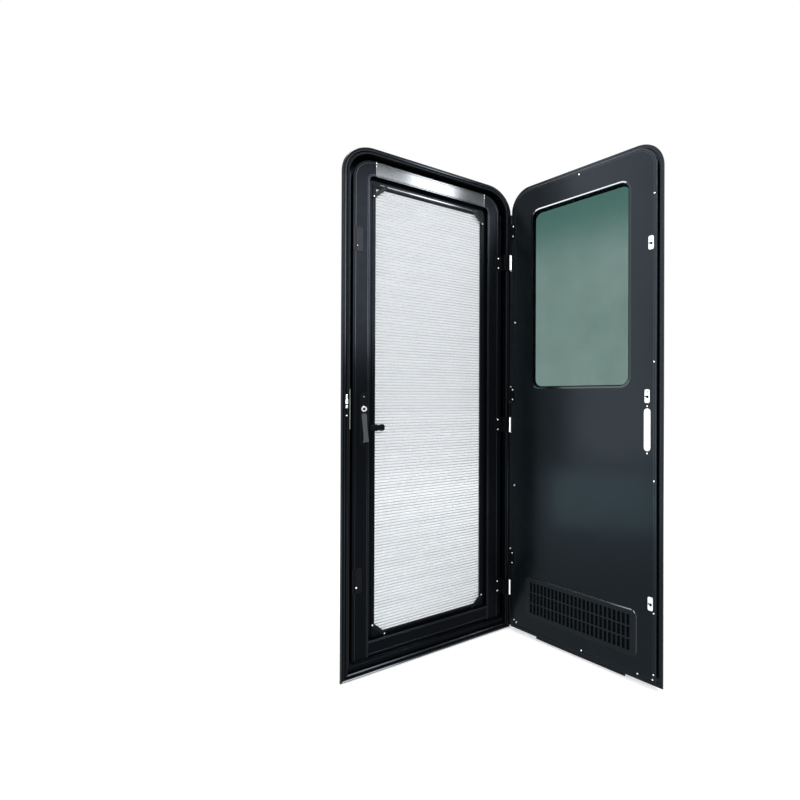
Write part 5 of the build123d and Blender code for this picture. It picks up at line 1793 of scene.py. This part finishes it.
@dataclass
class Studio:
    """Pale floor, white surround, soft lamps and the camera of the photograph."""

    image: int = 800
    focal_pixels: float = 405.46
    principal: Point2 = (524.27, 397.50)
    sensor: float = 36.0
    eye: tuple[float, float, float] = (-0.5337, -1.4904, 0.9549)
    yaw: float = 32.15
    pitch: float = 0.123
    roll: float = 0.183
    fill: float = 0.22
    floor_drop: float = 1.0
    floor_reach: float = 30.0
    glow: Point2 = (0.30, 0.85)
    glow_from: float = 0.5
    glow_to: float = 3.0
    lamps: tuple[Lamp, ...] = (
        Lamp("rail_lamp", (0.685, -1.95, 2.80), (0.0, 0.0, 1.55), (0.38, 0.42), 21.0),
        Lamp("side_softbox", (-3.0, -0.42, 2.05), (0.4, -0.3, 1.5), (1.2, 3.9), 70.0),
        Lamp("low_softbox", (-1.05, -0.36, 0.23), (0.5, -0.36, 0.5), (0.78, 0.42), 3.4, (0.72, 1.0, 1.0)),
        Lamp("front_softbox", (0.3, -3.2, 2.4), (0.0, 0.0, 1.3), (0.85, 1.9), 80.0),
        Lamp("right_lamp", (2.0, -3.2, 3.0), (0.27, 0.0, 1.6), (0.5, 0.7), 26.0),
        Lamp("top_softbox", (-0.48, 0.25, 3.4), (0.1, -0.2, 1.2), (1.7, 1.7), 72.0))

    def build(self) -> None:
        """Set up the view, the surround, the floor, the lamps and the camera."""
        bpy.context.scene.view_settings.view_transform = "Standard"
        self.surround()
        self.floor()
        for lamp in self.lamps:
            lamp.make()
        self.camera()

    def seen(self, tree: bpy.types.NodeTree) -> bpy.types.NodeSocket:
        """Whether a ray comes from the camera, a reflection or through glass.

        Args:
            tree: Node tree of the world or a material.

        Returns:
            Socket that is 1 for those rays and 0 for the rest.
        """
        path = tree.nodes.new("ShaderNodeLightPath")
        total = path.outputs["Is Camera Ray"]
        for ray in ("Is Glossy Ray", "Is Transmission Ray"):
            both = tree.nodes.new("ShaderNodeMath")
            both.operation = "MAXIMUM"
            tree.links.new(total, both.inputs[0])
            tree.links.new(path.outputs[ray], both.inputs[1])
            total = both.outputs[0]
        return total

    def surround(self) -> None:
        """White surround that is dimmer as a lamp than it looks."""
        world = bpy.data.worlds.new("white_surround")
        bpy.context.scene.world = world
        world.use_nodes = True
        tree = world.node_tree
        background = tree.nodes["Background"]
        background.inputs["Color"].default_value = (1.0, 1.0, 1.0, 1.0)
        level = tree.nodes.new("ShaderNodeMapRange")
        level.inputs["To Min"].default_value = self.fill
        level.inputs["To Max"].default_value = 1.0
        tree.links.new(self.seen(tree), level.inputs["Value"])
        tree.links.new(level.outputs["Result"], background.inputs["Strength"])

    def floor(self) -> None:
        """Pale floor under the frame, which keeps the object's shadow."""
        height = WALL.low.z * MM - self.floor_drop * MM
        mesh = bpy.data.meshes.new("studio_floor")
        reach = self.floor_reach
        corners = [(-reach, -reach, height), (reach, -reach, height), (reach, reach, height), (-reach, reach, height)]
        mesh.from_pydata(corners, [], [(0, 1, 2, 3)])
        material = bpy.data.materials.new("pale_floor")
        material.use_nodes = True
        tree = material.node_tree
        shader = tree.nodes["Principled BSDF"]
        shader.inputs["Base Color"].default_value = (0.86, 0.86, 0.86, 1.0)
        shader.inputs["Roughness"].default_value = 0.9
        shader.inputs["Specular IOR Level"].default_value = 0.1
        self.whiten(tree, shader)
        mesh.materials.append(material)
        ground = bpy.data.objects.new("studio_floor", mesh)
        bpy.context.scene.collection.objects.link(ground)

    def whiten(self, tree: bpy.types.NodeTree, shader: bpy.types.Node) -> None:
        """Let the floor run out to white, away from the object, for rays that show it.

        Args:
            tree: Node tree of the floor's material.
            shader: Shader that takes the light and the shadow.
        """
        source = tree.nodes.new("ShaderNodeTexCoord")
        distance = tree.nodes.new("ShaderNodeVectorMath")
        distance.operation = "LENGTH"
        tree.links.new(source.outputs["Object"], distance.inputs[0])
        glow = tree.nodes.new("ShaderNodeMapRange")
        glow.interpolation_type = "SMOOTHSTEP"
        glow.inputs["From Min"].default_value = self.glow_from
        glow.inputs["From Max"].default_value = self.glow_to
        glow.inputs["To Min"].default_value = self.glow[0]
        glow.inputs["To Max"].default_value = self.glow[1]
        tree.links.new(distance.outputs["Value"], glow.inputs["Value"])
        shown = tree.nodes.new("ShaderNodeMath")
        shown.operation = "MULTIPLY"
        tree.links.new(glow.outputs["Result"], shown.inputs[0])
        tree.links.new(self.seen(tree), shown.inputs[1])
        shader.inputs["Emission Color"].default_value = (1.0, 1.0, 1.0, 1.0)
        tree.links.new(shown.outputs[0], shader.inputs["Emission Strength"])

    def camera(self) -> None:
        """Camera that sees the object as the photograph does."""
        lens = bpy.data.cameras.new("photo_camera")
        lens.sensor_width = self.sensor
        lens.lens = self.focal_pixels / self.image * self.sensor
        lens.shift_x = 0.5 - self.principal[0] / self.image
        lens.shift_y = self.principal[1] / self.image - 0.5
        lens.clip_start = 0.05
        camera = bpy.data.objects.new("photo_camera", lens)
        bearing = Matrix.Rotation(radians(-self.yaw), 4, "Z") @ Matrix.Rotation(radians(90 + self.pitch), 4, "X")
        camera.matrix_world = Matrix.Translation(self.eye) @ bearing @ Matrix.Rotation(radians(self.roll), 4, "Z")
        bpy.context.scene.collection.objects.link(camera)
        bpy.context.scene.camera = camera


def main() -> None:
    """Build every sub-assembly in order, then the studio."""
    logging.basicConfig(level=logging.INFO, format="%(message)s")
    parts = (WallFrame(), Hinges(), ScreenDoor(), InsectMesh(), ScreenLock(), OuterLeaf(), Window(), Vent(),
             OuterHandle(), Catches())
    for part in parts:
        part.build()
    Studio().build()


if __name__ == "__main__":
    main()
